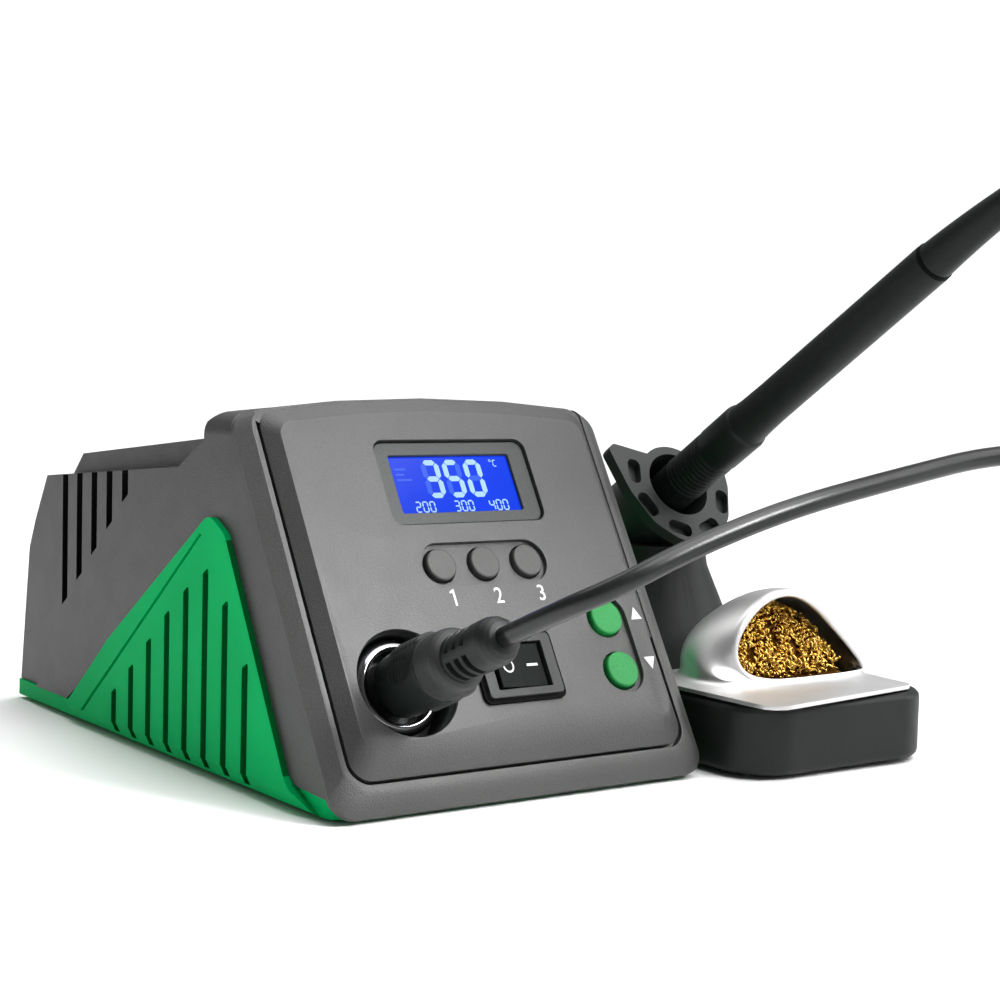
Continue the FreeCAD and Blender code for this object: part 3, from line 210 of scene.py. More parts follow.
def spread(tree, value, low, high):
    """Maps a value between 0 and 1 to one between low and high."""
    node = tree.nodes.new("ShaderNodeMapRange")
    node.inputs["To Min"].default_value = low
    node.inputs["To Max"].default_value = high
    tree.links.new(value, node.inputs["Value"])
    return node.outputs["Result"]


def bump(tree, shader, height, distance, strength):
    node = tree.nodes.new("ShaderNodeBump")
    node.inputs["Strength"].default_value = strength
    node.inputs["Distance"].default_value = distance
    tree.links.new(height, node.inputs["Height"])
    tree.links.new(node.outputs["Normal"], shader.inputs["Normal"])


def plastic(name, color, roughness=0.5, grain=5200.0, depth=0.00004, wander=0.10, strength=0.35, gloss=0.5,
            speckle=0.76):
    """Moulded plastic: fine spark-eroded grain, faint cloudiness and speckle in colour and gloss."""
    material, tree, shader = new_material(name, color, roughness)
    low = tuple(c * (1 - wander) for c in color)
    high = tuple(min(1.0, c * (1 + wander)) for c in color)
    fine = noise(tree, grain, 2.0)
    blend = tree.nodes.new("ShaderNodeMix")
    blend.data_type = "RGBA"
    blend.blend_type = "MULTIPLY"
    blend.inputs["Factor"].default_value = 1.0
    tree.links.new(ramp(tree, noise(tree, 38.0, 3.0), low, high), blend.inputs["A"])
    tree.links.new(ramp(tree, fine, (speckle, speckle, speckle), (1.0, 1.0, 1.0)), blend.inputs["B"])
    tree.links.new(blend.outputs["Result"], shader.inputs["Base Color"])
    worn = spread(tree, noise(tree, 170.0), roughness - 0.06, roughness + 0.07)
    tree.links.new(worn, shader.inputs["Roughness"])
    shader.inputs["Specular IOR Level"].default_value = gloss
    bump(tree, shader, fine, depth, strength)
    return material


def metal(name, color, roughness, stretch=(1, 1, 1), scale=900.0, depth=0.00001, strength=0.2):
    """Metal with a slightly uneven colour, and fine brushing along the axis with the smallest stretch."""
    material, tree, shader = new_material(name, color, roughness, 1.0)
    streak = noise(tree, scale, 3.0, stretch)
    tree.links.new(spread(tree, streak, roughness - 0.05, roughness + 0.09), shader.inputs["Roughness"])
    low = tuple(c * 0.93 for c in color)
    tree.links.new(ramp(tree, noise(tree, 60.0, 3.0), low, color), shader.inputs["Base Color"])
    bump(tree, shader, streak, depth, strength)
    return material


# name, colour, roughness, scale of the grain, its depth in metres, wander of the colour, strength of the
# grain, gloss, and how dark the speckle is
HOUSING = plastic("housing_plastic", (0.047, 0.048, 0.046), 0.47, 2600.0, 0.00012, 0.06, 0.6, 0.5)
GREEN = plastic("green_plastic", (0.0, 0.43, 0.115), 0.5, 2400.0, 0.00004, 0.07, 0.25, 0.03, 0.93)
# darker green of painted shade, for the walls and floors of the wing's grooves
GREEN_SHADE = plastic("green_groove_painted_shade", (0.0, 0.13, 0.024), 0.6, 2400.0, 0.00005, 0.07, 0.35, 0.04)
GREEN_KEY = plastic("green_key_plastic", (0.012, 0.24, 0.05), 0.42, 3000.0, 0.00003, 0.06, 0.3, 0.25)
KEY = plastic("dark_key_plastic", (0.058, 0.057, 0.056), 0.48, 3000.0, 0.00003, 0.06, 0.3, 0.35)
SURROUND = plastic("switch_plastic", (0.016, 0.017, 0.0165), 0.42, 3000.0, 0.00003, 0.06, 0.3, 0.3)
BLACK = plastic("black_plastic", (0.0085, 0.010, 0.0092), 0.46, 2400.0, 0.00005, 0.10, 0.35, 0.25)
PEDESTAL = plastic("stand_plastic", (0.027, 0.031, 0.029), 0.45, 2400.0, 0.00005, 0.08, 0.35, 0.35)
PEDESTAL_DARK = plastic("pedestal_plastic", (0.013, 0.0145, 0.0135), 0.5, 2400.0, 0.00005, 0.08, 0.35, 0.25)
# near black of painted shade, for slots, gaps, seams and sheets that stand where there is only shade
SHADE_BLACK = plastic("painted_shade_black", (0.0015, 0.0015, 0.0015), 0.7, 2400.0, 0.00004, 0.10, 0.2, 0.08)
BEZEL = plastic("bezel_plastic", (0.040, 0.045, 0.043), 0.42, 2600.0, 0.00003, 0.06, 0.3, 0.3)
RUBBER = plastic("moulded_rubber", (0.0075, 0.009, 0.0082), 0.45, 1500.0, 0.00005, 0.12, 0.4, 0.30)
HANDLE = plastic("handle_plastic", (0.0065, 0.0095, 0.008), 0.48, 1500.0, 0.00005, 0.12, 0.4, 0.22)
ROCKER = plastic("rocker_plastic", (0.006, 0.008, 0.0075), 0.34, 1500.0, 0.00001, 0.10, 0.15, 0.07)
COLLAR = plastic("plug_collar_rubber", (0.024, 0.025, 0.0245), 0.5, 1500.0, 0.00005, 0.12, 0.4, 0.3)
CORD = plastic("cord_jacket", (0.010, 0.0108, 0.0104), 0.32, 1200.0, 0.00004, 0.14, 0.4, 0.35)
IVORY = plastic("nylon", (0.55, 0.5, 0.4), 0.5)
RIBBON = plastic("ribbon_cable_sheath", (0.36, 0.37, 0.4), 0.4, 900.0, 0.00004, 0.08, 0.3)
CERAMIC = plastic("heater_ceramic", (0.68, 0.64, 0.56), 0.5, 900.0, 0.00002, 0.06, 0.3)
BOARD = plastic("circuit_board", (0.015, 0.13, 0.05), 0.35, 700.0, 0.00004, 0.3, 0.4)
PART = plastic("moulded_component", (0.02, 0.02, 0.022), 0.5)
TAPE = plastic("winding_tape", (0.6, 0.42, 0.06), 0.35, 400.0, 0.00008, 0.15, 0.5)
MARK = plastic("printed_white", (0.70, 0.70, 0.69), 0.55, 4000.0, 0.00001, 0.03, 0.2)
# name, colour, roughness, stretch of the brushing along x, y and z, its scale, depth in metres and strength
STEEL = metal("satin_steel", (0.5, 0.5, 0.51), 0.32)
BRIGHT = metal("bright_sheet", (0.76, 0.755, 0.75), 0.42, (1.0, 1.0, 1.0), 1600.0, 0.000006, 0.15)
DARK_CHROME = metal("dark_chrome", (0.17, 0.17, 0.175), 0.09, (1.0, 1.0, 1.0), 300.0, 0.000008, 0.15)
ALUMINIUM = metal("aluminium_extrusion", (0.72, 0.73, 0.75), 0.35, (1, 0.05, 1), 1200.0)
CORE = metal("laminations", (0.12, 0.12, 0.125), 0.5, (0.02, 1.0, 0.02), 5200.0, 0.00006, 0.7)
TIP = metal("plated_tip", (0.6, 0.58, 0.56), 0.3)
BRASS = metal("brass_strand", (0.90, 0.57, 0.12), 0.17, (1, 1, 1), 2600.0, 0.00002, 0.4)
# dark brown of painted shade, for the wool's core between the curls
BRASS_SHADE = metal("brass_in_shadow", (0.075, 0.030, 0.004), 0.5, (1, 1, 1), 1300.0, 0.0002, 1.0)


DISPLAY_ROUGHNESS = 0.12
DISPLAY_GLOSS = 0.12


def lit(name, color, strength, base=(0.01, 0.01, 0.01)):
    """Lit part of the display: a slightly uneven glow under a clear front."""
    material, tree, shader = new_material(name, base, DISPLAY_ROUGHNESS)
    glow = ramp(tree, noise(tree, 55.0, 2.0), tuple(c * 0.90 for c in color), color)
    tree.links.new(glow, shader.inputs["Emission Color"])
    shader.inputs["Emission Strength"].default_value = strength
    shader.inputs["Specular IOR Level"].default_value = DISPLAY_GLOSS
    return material


GLOW = lit("display_blue", (0.006, 0.058, 0.92), 1.0, (0.0, 0.0, 0.0))
GHOST = lit("display_unlit_segment", (0.03, 0.13, 0.95), 1.0)
DIGIT = lit("display_digit", (0.42, 0.74, 1.0), 0.95, (0.05, 0.05, 0.05))
GLASS, glass_tree, glass_shader = new_material("fuse_glass", (0.9, 0.92, 0.93), 0.05)
glass_shader.inputs["Transmission Weight"].default_value = 0.8
glass_tree.links.new(spread(glass_tree, noise(glass_tree, 300.0), 0.03, 0.1), glass_shader.inputs["Roughness"])

MATERIALS = {
    "top_shell": HOUSING, "front_frame": HOUSING, "front_panel": HOUSING, "bottom_shell": GREEN,
    "station_feet": RUBBER, "display_bezel": BEZEL, "display_module": PART, "display_window": GLOW,
    "preset_button_1": KEY, "preset_button_2": KEY, "preset_button_3": KEY, "down_button": GREEN_KEY,
    "up_button": GREEN_KEY, "control_board": BOARD, "tact_switches": PART, "switch_housing": SURROUND,
    "rocker": ROCKER, "socket_ring": DARK_CHROME, "socket_insert": BLACK, "plug_body": RUBBER,
    "plug_relief": RUBBER,
    "plug_barrel": STEEL, "transformer_core": CORE, "transformer_winding": TAPE, "transformer_strap": STEEL,
    "main_board": BOARD, "heat_sink": ALUMINIUM, "triac": PART, "capacitors": PART, "terminal_block": IVORY,
    "ribbon_cable": RIBBON, "rear_panel": BLACK, "mains_inlet": BLACK, "inlet_pins": STEEL, "fuse_drawer": BLACK,
    "fuse": GLASS, "board_screws": STEEL, "case_screws": STEEL, "stand_base": BLACK, "ballast_plate": STEEL,
    "stand_feet": RUBBER, "wool_tray": BLACK, "cleaner_hood": BRIGHT, "brass_wool": BRASS_SHADE,
    "pedestal": PEDESTAL_DARK,
    "iron_holder": PEDESTAL, "heat_tube": STEEL, "holder_screw": STEEL, "iron_grip": RUBBER,
    "iron_handle": HANDLE,
    "iron_relief": HANDLE, "iron_collar": STEEL, "iron_barrel": BRIGHT, "iron_heater": CERAMIC, "iron_tip": TIP,
    "cord_tie": RUBBER,
}


def paint(obj, material):
    obj.data.materials.clear()
    obj.data.materials.append(material)


for node, material in MATERIALS.items():
    paint(NODES[node], material)


# ---------------------------------------------------------------- building helpers
def add_mesh(name, bm, material, body, smooth_angle=35.0):
    """Turns a bmesh into an object of the frame, smooth except across sharp edges."""
    sharp = math.radians(smooth_angle)
    for edge in bm.edges:
        edge.smooth = edge.calc_face_angle(0.0) < sharp if edge.is_manifold else False
    for face in bm.faces:
        face.smooth = True
    mesh = bpy.data.meshes.new(name)
    bm.to_mesh(mesh)
    bm.free()
    if "custom_normal" in mesh.attributes:
        mesh.attributes.remove(mesh.attributes["custom_normal"])
    obj = bpy.data.objects.new(name, mesh)
    bpy.context.scene.collection.objects.link(obj)
    paint(obj, material)
    if body:
        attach(obj, body)
    return obj


WELD = 2e-6
FLAT_ANGLE = math.radians(1.2)
ROUND_SEGMENTS = 3
ROUND_ANGLE = math.radians(32.0)


def soften(node, width):
    """Stands in for a CAD node with the same shape, its sharp edges rounded by width."""
    bm = bmesh.new()
    bm.from_mesh(NODES[node].data)
    bmesh.ops.remove_doubles(bm, verts=bm.verts, dist=WELD)
    bmesh.ops.dissolve_limit(bm, angle_limit=FLAT_ANGLE, verts=bm.verts, edges=bm.edges)
    obj = add_mesh(node + "_finished", bm, MATERIALS[node], BODY_OF[node], 40.0)
    modifier = obj.modifiers.new("round", "BEVEL")
    modifier.width = width
    modifier.segments = ROUND_SEGMENTS
    modifier.limit_method = "ANGLE"
    modifier.angle_limit = ROUND_ANGLE
    modifier.harden_normals = True
    modifier.use_clamp_overlap = True
    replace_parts(obj, node)
    return obj


FINISHED = {node: soften(node, width) for node, width in {
    "top_shell": 0.0009, "front_frame": 0.0005, "front_panel": 0.0007, "bottom_shell": 0.0009,
    "display_bezel": 0.0003, "stand_base": 0.0018, "pedestal": 0.0008, "iron_holder": 0.0006,
    "switch_housing": 0.0004, "rocker": 0.0005, "rear_panel": 0.0003, "mains_inlet": 0.0004,
    "preset_button_1": 0.0005, "preset_button_2": 0.0005, "preset_button_3": 0.0005, "down_button": 0.0007,
    "up_button": 0.0007, "fuse_drawer": 0.0003}.items()}


def darken_cuts(obj, inside, material):
    """Gives the faces that line a cut-out their own material: painted shade in the cuts and grooves, and the plug
    collar's own lighter tone.
    """
    obj.data.materials.append(material)
    for face in obj.data.polygons:
        if inside(face.center, face.normal):
            face.material_index = 1


def in_louvre(place, normal):
    """Walls of the louvre slots, and the surfaces that show through them; these get painted shade."""
    y, z = place.y - STATION.translation.y, place.z
    along = 0.104 < y < 0.1500
    wall = 0.028 < z < 0.0720 and abs(normal.x) < 0.6 and normal.z < 0.5
    behind = 0.031 < z < 0.064 and abs(place.x - STATION.translation.x) < 0.0500
    return along and (wall or behind)


def in_panel_gap(place, normal):
    """Walls and floor of the narrow gap round the panel, on its left and along its foot; these get painted shade.
    """
    spot = PANEL.inverted() @ place
    facing_out = (PANEL.inverted().to_3x3() @ normal).z > 0.9 and spot.z > -0.0040
    beside = -0.0480 < spot.x < -0.0462 and 0.0100 < spot.y < 0.0980
    below = 0.0085 < spot.y < 0.0125 and abs(spot.x) < 0.0450
    return spot.z < -0.0034 and not facing_out and (beside or below)


def in_wing_groove(place, normal):
    """Walls and floors of the grooves between the wing's ribs; these get painted shade in a darker green."""
    y = place.y - STATION.translation.y
    side = abs(place.x - STATION.translation.x)
    edge_on = abs(normal.x) < 0.5
    within = 0.033 < y < 0.112 and 0.0022 < place.z < 0.0560 - max(0.0, (y - 0.0575) * 0.75)
    inner, outer = (0.0512, 0.0536) if edge_on else (0.0510, 0.0530)
    return within and inner < side < outer


# painted shade: the louvre slots and the surfaces behind them turn near black
darken_cuts(FINISHED["top_shell"], in_louvre, SHADE_BLACK)
# painted shade: the gap round the panel turns near black
darken_cuts(FINISHED["front_frame"], in_panel_gap, SHADE_BLACK)
# painted shade: the wing's grooves turn a darker green
darken_cuts(FINISHED["bottom_shell"], in_wing_groove, GREEN_SHADE)


# ---------------------------------------------------------------- plates and marks on the panel
def plate(name, frame_matrix, loops, low, high, material, body, hole=None, smooth_angle=30.0):
    """Flat pieces: each loop is extruded from low to high along the frame's z."""
    bm = bmesh.new()
    for loop in loops:
        lower = [bm.verts.new(frame_matrix @ Vector((x, y, low))) for x, y in loop]
        upper = [bm.verts.new(frame_matrix @ Vector((x, y, high))) for x, y in loop]
        count = len(loop)
        if hole is None:
            bm.faces.new(upper)
            bm.faces.new(lower[::-1])
            for k in range(count):
                bm.faces.new((lower[k], lower[(k + 1) % count], upper[(k + 1) % count], upper[k]))
            continue
        inner_low = [bm.verts.new(frame_matrix @ Vector((x, y, low))) for x, y in hole]
        inner_high = [bm.verts.new(frame_matrix @ Vector((x, y, high))) for x, y in hole]
        for ring, other in ((upper, inner_high), (inner_high, inner_low), (inner_low, lower), (lower, upper)):
            for k in range(count):
                bm.faces.new((ring[k], ring[(k + 1) % count], other[(k + 1) % count], other[k]))
    bmesh.ops.recalc_face_normals(bm, faces=bm.faces)
    return add_mesh(name, bm, material, body, smooth_angle)


def circle(x, y, radius, count=40):
    turns = [2 * math.pi * k / count for k in range(count)]
    return [(x + radius * math.cos(turn), y + radius * math.sin(turn)) for turn in turns]


def rounded(left, low, width, height, radius, steps=6):
    """Rounded rectangle with the same number of points whatever its size."""
    points = []
    corners = ((left + width - radius, low + radius, -90), (left + width - radius, low + height - radius, 0),
               (left + radius, low + height - radius, 90), (left + radius, low + radius, 180))
    for x, y, start in corners:
        for k in range(steps + 1):
            angle = math.radians(start + 90 * k / steps)
            points.append((x + radius * math.cos(angle), y + radius * math.sin(angle)))
    return points


SEGMENTS = {"0": "abcdef", "2": "abdeg", "3": "abcdg", "4": "bcfg", "5": "acdfg", "C": "adef"}


def bar(start, end, thick, gap):
    """Six-sided display segment between two points."""
    a, b = Vector(start), Vector(end)
    ahead = (b - a).normalized()
    side = Vector((-ahead.y, ahead.x)) * thick / 2
    a, b = a + ahead * gap, b - ahead * gap
    point = ahead * thick / 2
    return [tuple(p) for p in (a, a + point - side, b - point - side, b, b - point + side, a + point + side)]


def digit_bars(letter, x, y, width, height, thick, gap, unlit=False):
    """Lit bars of a seven-segment figure, or the unlit ones."""
    right, middle, top = x + width, y + height / 2, y + height
    lines = {"a": ((x, top), (right, top)), "b": ((right, middle), (right, top)),
             "c": ((right, y), (right, middle)), "d": ((x, y), (right, y)), "e": ((x, y), (x, middle)),
             "f": ((x, middle), (x, top)), "g": ((x, middle), (right, middle))}
    return [bar(*line, thick, gap) for name, line in lines.items() if (name in SEGMENTS[letter]) != unlit]


def make_display():
    """Three tall figures, three small set points under them, and the degree mark."""
    face = -1.7 * MM
    tall, unlit, small = [], [], []
    for index, letter in enumerate("350"):
        place = ((-6.2 + index * 6.1) * MM, 79.5 * MM, 3.7 * MM, 8.7 * MM, 1.4 * MM, 0.12 * MM)
        tall += digit_bars(letter, *place)
        unlit += digit_bars(letter, *place, unlit=True)
    for left, word in ((-11.4, "200"), (-0.3, "300"), (9.9, "400")):
        for index, letter in enumerate(word):
            place = ((left + index * 2.0) * MM, 75.25 * MM, 1.3 * MM, 2.6 * MM, 0.36 * MM, 0.05 * MM)
            small += digit_bars(letter, *place)
    small += digit_bars("C", 14.4 * MM, 87.0 * MM, 0.9 * MM, 1.6 * MM, 0.26 * MM, 0.03 * MM)
    raised = face + 0.03 * MM
    plate("display_figures", PANEL, tall, face, raised, DIGIT, "station")
    plate("display_set_points", PANEL, small, face, raised, DIGIT, "station")
    labels = [rounded(left * MM, low * MM, wide * MM, 0.5 * MM, 0.2 * MM)
              for left, low, wide in ((-14.6, 86.3, 3.2), (-14.6, 84.9, 2.4), (-14.6, 83.5, 4.2))]
    plate("display_unlit", PANEL, unlit + labels, face, face + 0.02 * MM, GHOST, "station")
    degree = (13.6 * MM, 88.5 * MM)
    plate("display_degree", PANEL, [circle(*degree, 0.36 * MM, 20)], face, raised, DIGIT, "station",
          circle(*degree, 0.20 * MM, 20))


FIGURE_LINE = 50.4 * MM
SINK = -0.01 * MM
# heights of the rocker's face over the panel: at its left end, at its middle and at its right end
ROCKER_LEFT, ROCKER_MIDDLE, ROCKER_RIGHT = 2.512, 1.3, 0.943
ROCKER_HALF = 7.0


def make_marks():
    """Printed triangles beside the arrow keys, figures under the presets, marks on the rocker, and a black ring of
    painted shade round its bezel.
    """
    rise = 0.03 * MM
    up = [(40.1 * MM, 43.7 * MM), (43.4 * MM, 43.7 * MM), (41.75 * MM, 46.9 * MM)]
    down = [(40.1 * MM, 33.8 * MM), (41.75 * MM, 30.6 * MM), (43.4 * MM, 33.8 * MM)]
    plate("arrow_marks", PANEL, [up, down], SINK, rise, MARK, "station")
    one = [(-0.28, 0.0), (0.28, 0.0), (0.28, 4.15), (-0.1, 4.15), (-1.0, 3.6), (-1.0, 3.1), (-0.28, 3.35)]
    one = [((-9.3 + x) * MM, FIGURE_LINE + y * MM) for x, y in one]
    plate("numeral_1_print", PANEL, [one], SINK, rise, MARK, "station")
    for figure, x in ((2, 3.2), (3, 15.7)):
        curve = bpy.data.curves.new(f"numeral_{figure}", "FONT")
        curve.body = str(figure)
        curve.size = 5.7 * MM
        curve.extrude = 0.015 * MM
        curve.offset = 0.03 * MM
        curve.align_x = "CENTER"
        source = bpy.data.objects.new("numeral_source", curve)
        bpy.context.scene.collection.objects.link(source)
        bpy.context.view_layer.update()
        mesh = bpy.data.meshes.new_from_object(source.evaluated_get(bpy.context.evaluated_depsgraph_get()))
        bpy.data.objects.remove(source)
        bpy.data.curves.remove(curve)
        bm = bmesh.new()
        bm.from_mesh(mesh)
        bpy.data.meshes.remove(mesh)
        narrow = Matrix.Scale(0.86, 4, (1, 0, 0))
        place = PANEL @ Matrix.Translation((x * MM, FIGURE_LINE, 0.014 * MM)) @ narrow
        bmesh.ops.transform(bm, matrix=place, verts=bm.verts)
        add_mesh(f"numeral_{figure}_print", bm, MARK, "station")
    switch = PANEL @ Matrix.Translation((2.0 * MM, 34.1 * MM, 0))
    middle = switch @ Matrix.Translation((0, 0, ROCKER_MIDDLE * MM))
    left = middle @ Matrix.Rotation(math.atan2(ROCKER_LEFT - ROCKER_MIDDLE, ROCKER_HALF), 4, "Y")
    right = middle @ Matrix.Rotation(math.atan2(ROCKER_MIDDLE - ROCKER_RIGHT, ROCKER_HALF), 4, "Y")
    plate("rocker_off_mark", left, [circle(-3.6 * MM, 0, 1.75 * MM)], SINK, 0.04 * MM, MARK, "power_rocker",
          circle(-3.6 * MM, 0, 1.35 * MM))
    line = rounded(2.2 * MM, -0.3 * MM, 3.2 * MM, 0.6 * MM, 0.1 * MM)
    plate("rocker_on_mark", right, [line], SINK, 0.04 * MM, MARK, "power_rocker")
    # a black ring of painted shade round the switch's bezel, standing for the dark gap round it
    wide, tall = 23.0 * MM, 17.0 * MM
    outline = rounded(-wide / 2, -tall / 2, wide, tall, 1.8 * MM)
    opening = rounded(-10.4 * MM, -7.4 * MM, 20.8 * MM, 14.8 * MM, 1.0 * MM)
    plate("switch_shade_ring", switch, [outline], 0.01 * MM, 0.8 * MM, SHADE_BLACK, "station", opening)


make_display()
make_marks()


# ---------------------------------------------------------------- turned and modulated pieces
def turned(name, frame_matrix, profile, material, body, around=96, shape=None, smooth_angle=40.0):
    """Surface of revolution about the frame's z; shape may change the radius at an angle and height."""
    bm = bmesh.new()
    rings = []
    for radius, height in profile:
        ring = []
        for k in range(around):
            angle = 2 * math.pi * k / around
            local = radius if shape is None else shape(radius, angle, height)
            point = Vector((local * math.cos(angle), local * math.sin(angle), height))
            ring.append(bm.verts.new(frame_matrix @ point))
        rings.append(ring)
    for low, high in zip(rings, rings[1:]):
        for k in range(around):
            bm.faces.new((low[k], low[(k + 1) % around], high[(k + 1) % around], high[k]))
    if profile[0] != profile[-1]:
        bm.faces.new(rings[0][::-1])
        bm.faces.new(rings[-1])
    else:
        bmesh.ops.remove_doubles(bm, verts=bm.verts, dist=1e-7)
    bmesh.ops.recalc_face_normals(bm, faces=bm.faces)
    return add_mesh(name, bm, material, body, smooth_angle)


def in_metres(profile):
    """A profile of radii and heights that is written in millimetres."""
    return [(radius * MM, height * MM) for radius, height in profile]


def fine_profile(points, step):
    """Adds points along a radius and height profile so that no run is longer than step."""
    fine = [points[0]]
    for (r0, z0), (r1, z1) in zip(points, points[1:]):
        count = max(1, math.ceil(math.hypot(r1 - r0, z1 - z0) / step))
        fine += [(r0 + (r1 - r0) * k / count, z0 + (z1 - z0) * k / count) for k in range(1, count + 1)]
    return fine


def angle_from(angle, centre):
    """Angle between two directions, without its sign."""
    return abs((angle - centre + math.pi) % (2 * math.pi) - math.pi)


# where the plug's flat sides, its edge ribs and the slots of its strain relief are, round the plug
GRIP_SIDE = math.radians(168)
RIB_EDGES = ((math.radians(106), 2.0 * MM, 13.4 * MM), (math.radians(287), 6.5 * MM, 19.4 * MM))
RELIEF_SIDE = math.radians(182)
RIB_HALF = 0.40
RIB_PITCH = 1.7 * MM
OVAL_PITCH = 1.1 * MM
SLOT_PITCH = 3.1
SLOT_START = 24.2


def plug_shape(radius, angle, height):
    """Ribs along both edges and a sunk ribbed oval on each flat side of the plug."""
    for centre, start, end in RIB_EDGES:
        across = angle_from(angle, centre)
        if across < RIB_HALF and start < height < end:
            ridge = 0.5 + 0.5 * math.cos(2 * math.pi * height / RIB_PITCH)
            return radius + 0.75 * MM * (1 - (across / RIB_HALF) ** 4) * ridge
    for centre in (GRIP_SIDE, GRIP_SIDE + math.pi):
        across = angle_from(angle, centre) * radius / (3.1 * MM)
        along = (height - 8.0 * MM) / (5.2 * MM)
        depth = 1 - (across**2 + along**2) ** 0.5
        if radius > 6 * MM and depth > 0:
            ridge = 0.5 + 0.5 * math.cos(2 * math.pi * height / OVAL_PITCH)
            return radius - min(1.0, depth * 6) * (0.60 - 0.50 * ridge) * MM
    return radius


def relief_shape(radius, angle, height):
    """Three rows of four slots, with solid spines between them."""
    level = height / MM - SLOT_START
    row = round(level / SLOT_PITCH)
    if 0 <= row <= 2 and abs(level - row * SLOT_PITCH) < 0.78 and radius > 4.6 * MM:
        nearest = min(angle_from(angle, RELIEF_SIDE + math.radians(45 + 90 * k)) for k in range(4))
        if nearest < math.radians(34):
            return radius - 1.9 * MM
    return radius


COLLAR_START = 14.1 * MM


def make_plug():
    """Ribbed plug with its lighter collar, and the slotted strain relief behind it."""
    body = in_metres([
        (0.1, -3.0), (7.0, -3.0), (7.5, -2.4), (7.6, -1.0), (7.6, 13.4), (7.5, 14.0), (7.25, 14.2), (7.3, 14.6),
        (7.3, 16.0), (7.3, 19.2), (7.1, 20.4), (6.5, 21.4), (5.6, 21.95), (0.1, 22.0)])
    body = fine_profile(body, 0.28 * MM)
    moulding = turned("plug_body_moulding", PLUG, body, HANDLE, "station", 160, plug_shape)
    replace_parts(moulding, "plug_body")
    darken_cuts(moulding, lambda place, normal: (PLUG.inverted() @ place).z > COLLAR_START, COLLAR)
    relief = in_metres([
        (0.1, 22.0), (5.4, 22.0), (5.4, 35.4), (5.2, 36.6), (4.6, 37.8), (3.6, 38.6), (2.4, 38.95), (0.1, 39.0)])
    relief = fine_profile(relief, 0.26 * MM)
    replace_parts(turned("plug_relief_moulding", PLUG, relief, RUBBER, "station", 144, relief_shape), "plug_relief")


def make_socket():
    """Chromed ring round the socket, and a black sleeve of painted shade in the well in the panel."""
    ring = in_metres([
        (8.3, -9.5), (11.3, -9.5), (11.3, -5.4), (11.1, -4.6), (10.6, -4.0), (9.9, -3.5), (9.2, -3.3),
        (8.7, -3.5), (8.4, -4.1), (8.3, -9.5)])
    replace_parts(turned("socket_ring_gloss", PLUG, ring, DARK_CHROME, "station", 128, None, 60.0), "socket_ring")
    well = PANEL @ Matrix.Translation(SOCKET_SPOT)
    # a black sleeve of painted shade for the inside of the well
    well_shade = in_metres([(12.86, -11.7), (12.86, -0.7), (12.5, -1.2), (12.5, -11.7), (12.86, -11.7)])
    turned("socket_well_shade_sleeve", well, well_shade, BLACK, "station", 96)


def make_grip():
    """Smooth nose, fine threads and a slightly wider cuff, and a black ring of painted shade in the seam before the
    strain relief.
    """
    profile = [(3.25, -14.0), (5.0, -14.0), (5.6, -12.6), (6.1, -6.0), (6.2, 0.0)]
    for index in range(10):
        level = 3.0 + index * 1.5
        profile += [(6.2, level), (6.34, level + 0.25), (6.34, level + 0.75), (6.2, level + 1.0)]
    profile += [(6.2, 18.6), (6.48, 19.4), (6.5, 30.6), (6.3, 31.6), (5.9, 32.0), (3.25, 32.0), (3.25, -14.0)]
    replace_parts(turned("iron_grip_moulding", FUNNEL, in_metres(profile), HANDLE, "iron", 96), "iron_grip")
    # a black ring of painted shade in the seam where the handle meets the strain relief
    seam = in_metres([(4.6, 105.8), (5.16, 105.8), (5.12, 107.1), (4.6, 107.1), (4.6, 105.8)])
    turned("iron_seam_shade_ring", FUNNEL, seam, SHADE_BLACK, "iron", 96)


make_plug()
make_socket()
make_grip()


def make_frame_crown():
    """Closes the gap between panel and frame over the top and down the right-hand edge."""
    def arc(x, y, radius, start, end, count=8):
        turns = [math.radians(start + (end - start) * k / count) for k in range(count + 1)]
        return [(x + radius * math.cos(turn), y + radius * math.sin(turn)) for turn in turns]

    inner = [(46.65, 40.0)] + arc(41.4, 97.2, 5.25, 0, 83) + [(23.3, 105.25), (0, 106.05), (-23.3, 105.25)]
    inner += arc(-41.4, 97.2, 5.25, 97, 150)
    outer = arc(-42.6, 98.0, 6.0, 150, 96) + [(-24.3, 105.9), (0, 106.7), (24.3, 105.9)]
    outer += arc(42.6, 98.0, 6.0, 84, 0)
    outer += [(48.6, 90.0), (47.35, 88.0), (47.35, 40.0)]
    loop = [(x * MM, y * MM) for x, y in inner + outer]
    plate("frame_crown", PANEL, [loop], -5.6 * MM, -3.35 * MM, HOUSING, "station", None, 50.0)


make_frame_crown()

# black sheets of painted shade behind the louvres on both sides, so that they read as deep slots
SHADE_SHEET_FRAME = STATION @ Matrix.Rotation(math.pi / 2, 4, "Z") @ Matrix.Rotation(math.pi / 2, 4, "X")
SHADE_SHEET_OUTLINE = [(0.104, 0.040), (0.149, 0.034), (0.151, 0.062), (0.104, 0.064)]
SHADE_SHEET_OUT = 0.0436
for side, label in ((1, "right"), (-1, "left")):
    sheet_place = Matrix.Translation((side * SHADE_SHEET_OUT, 0, 0)) @ SHADE_SHEET_FRAME
    plate(f"louvre_shade_sheet_{label}", sheet_place, [SHADE_SHEET_OUTLINE], -0.2 * MM, 0.2 * MM, SHADE_BLACK, "station")


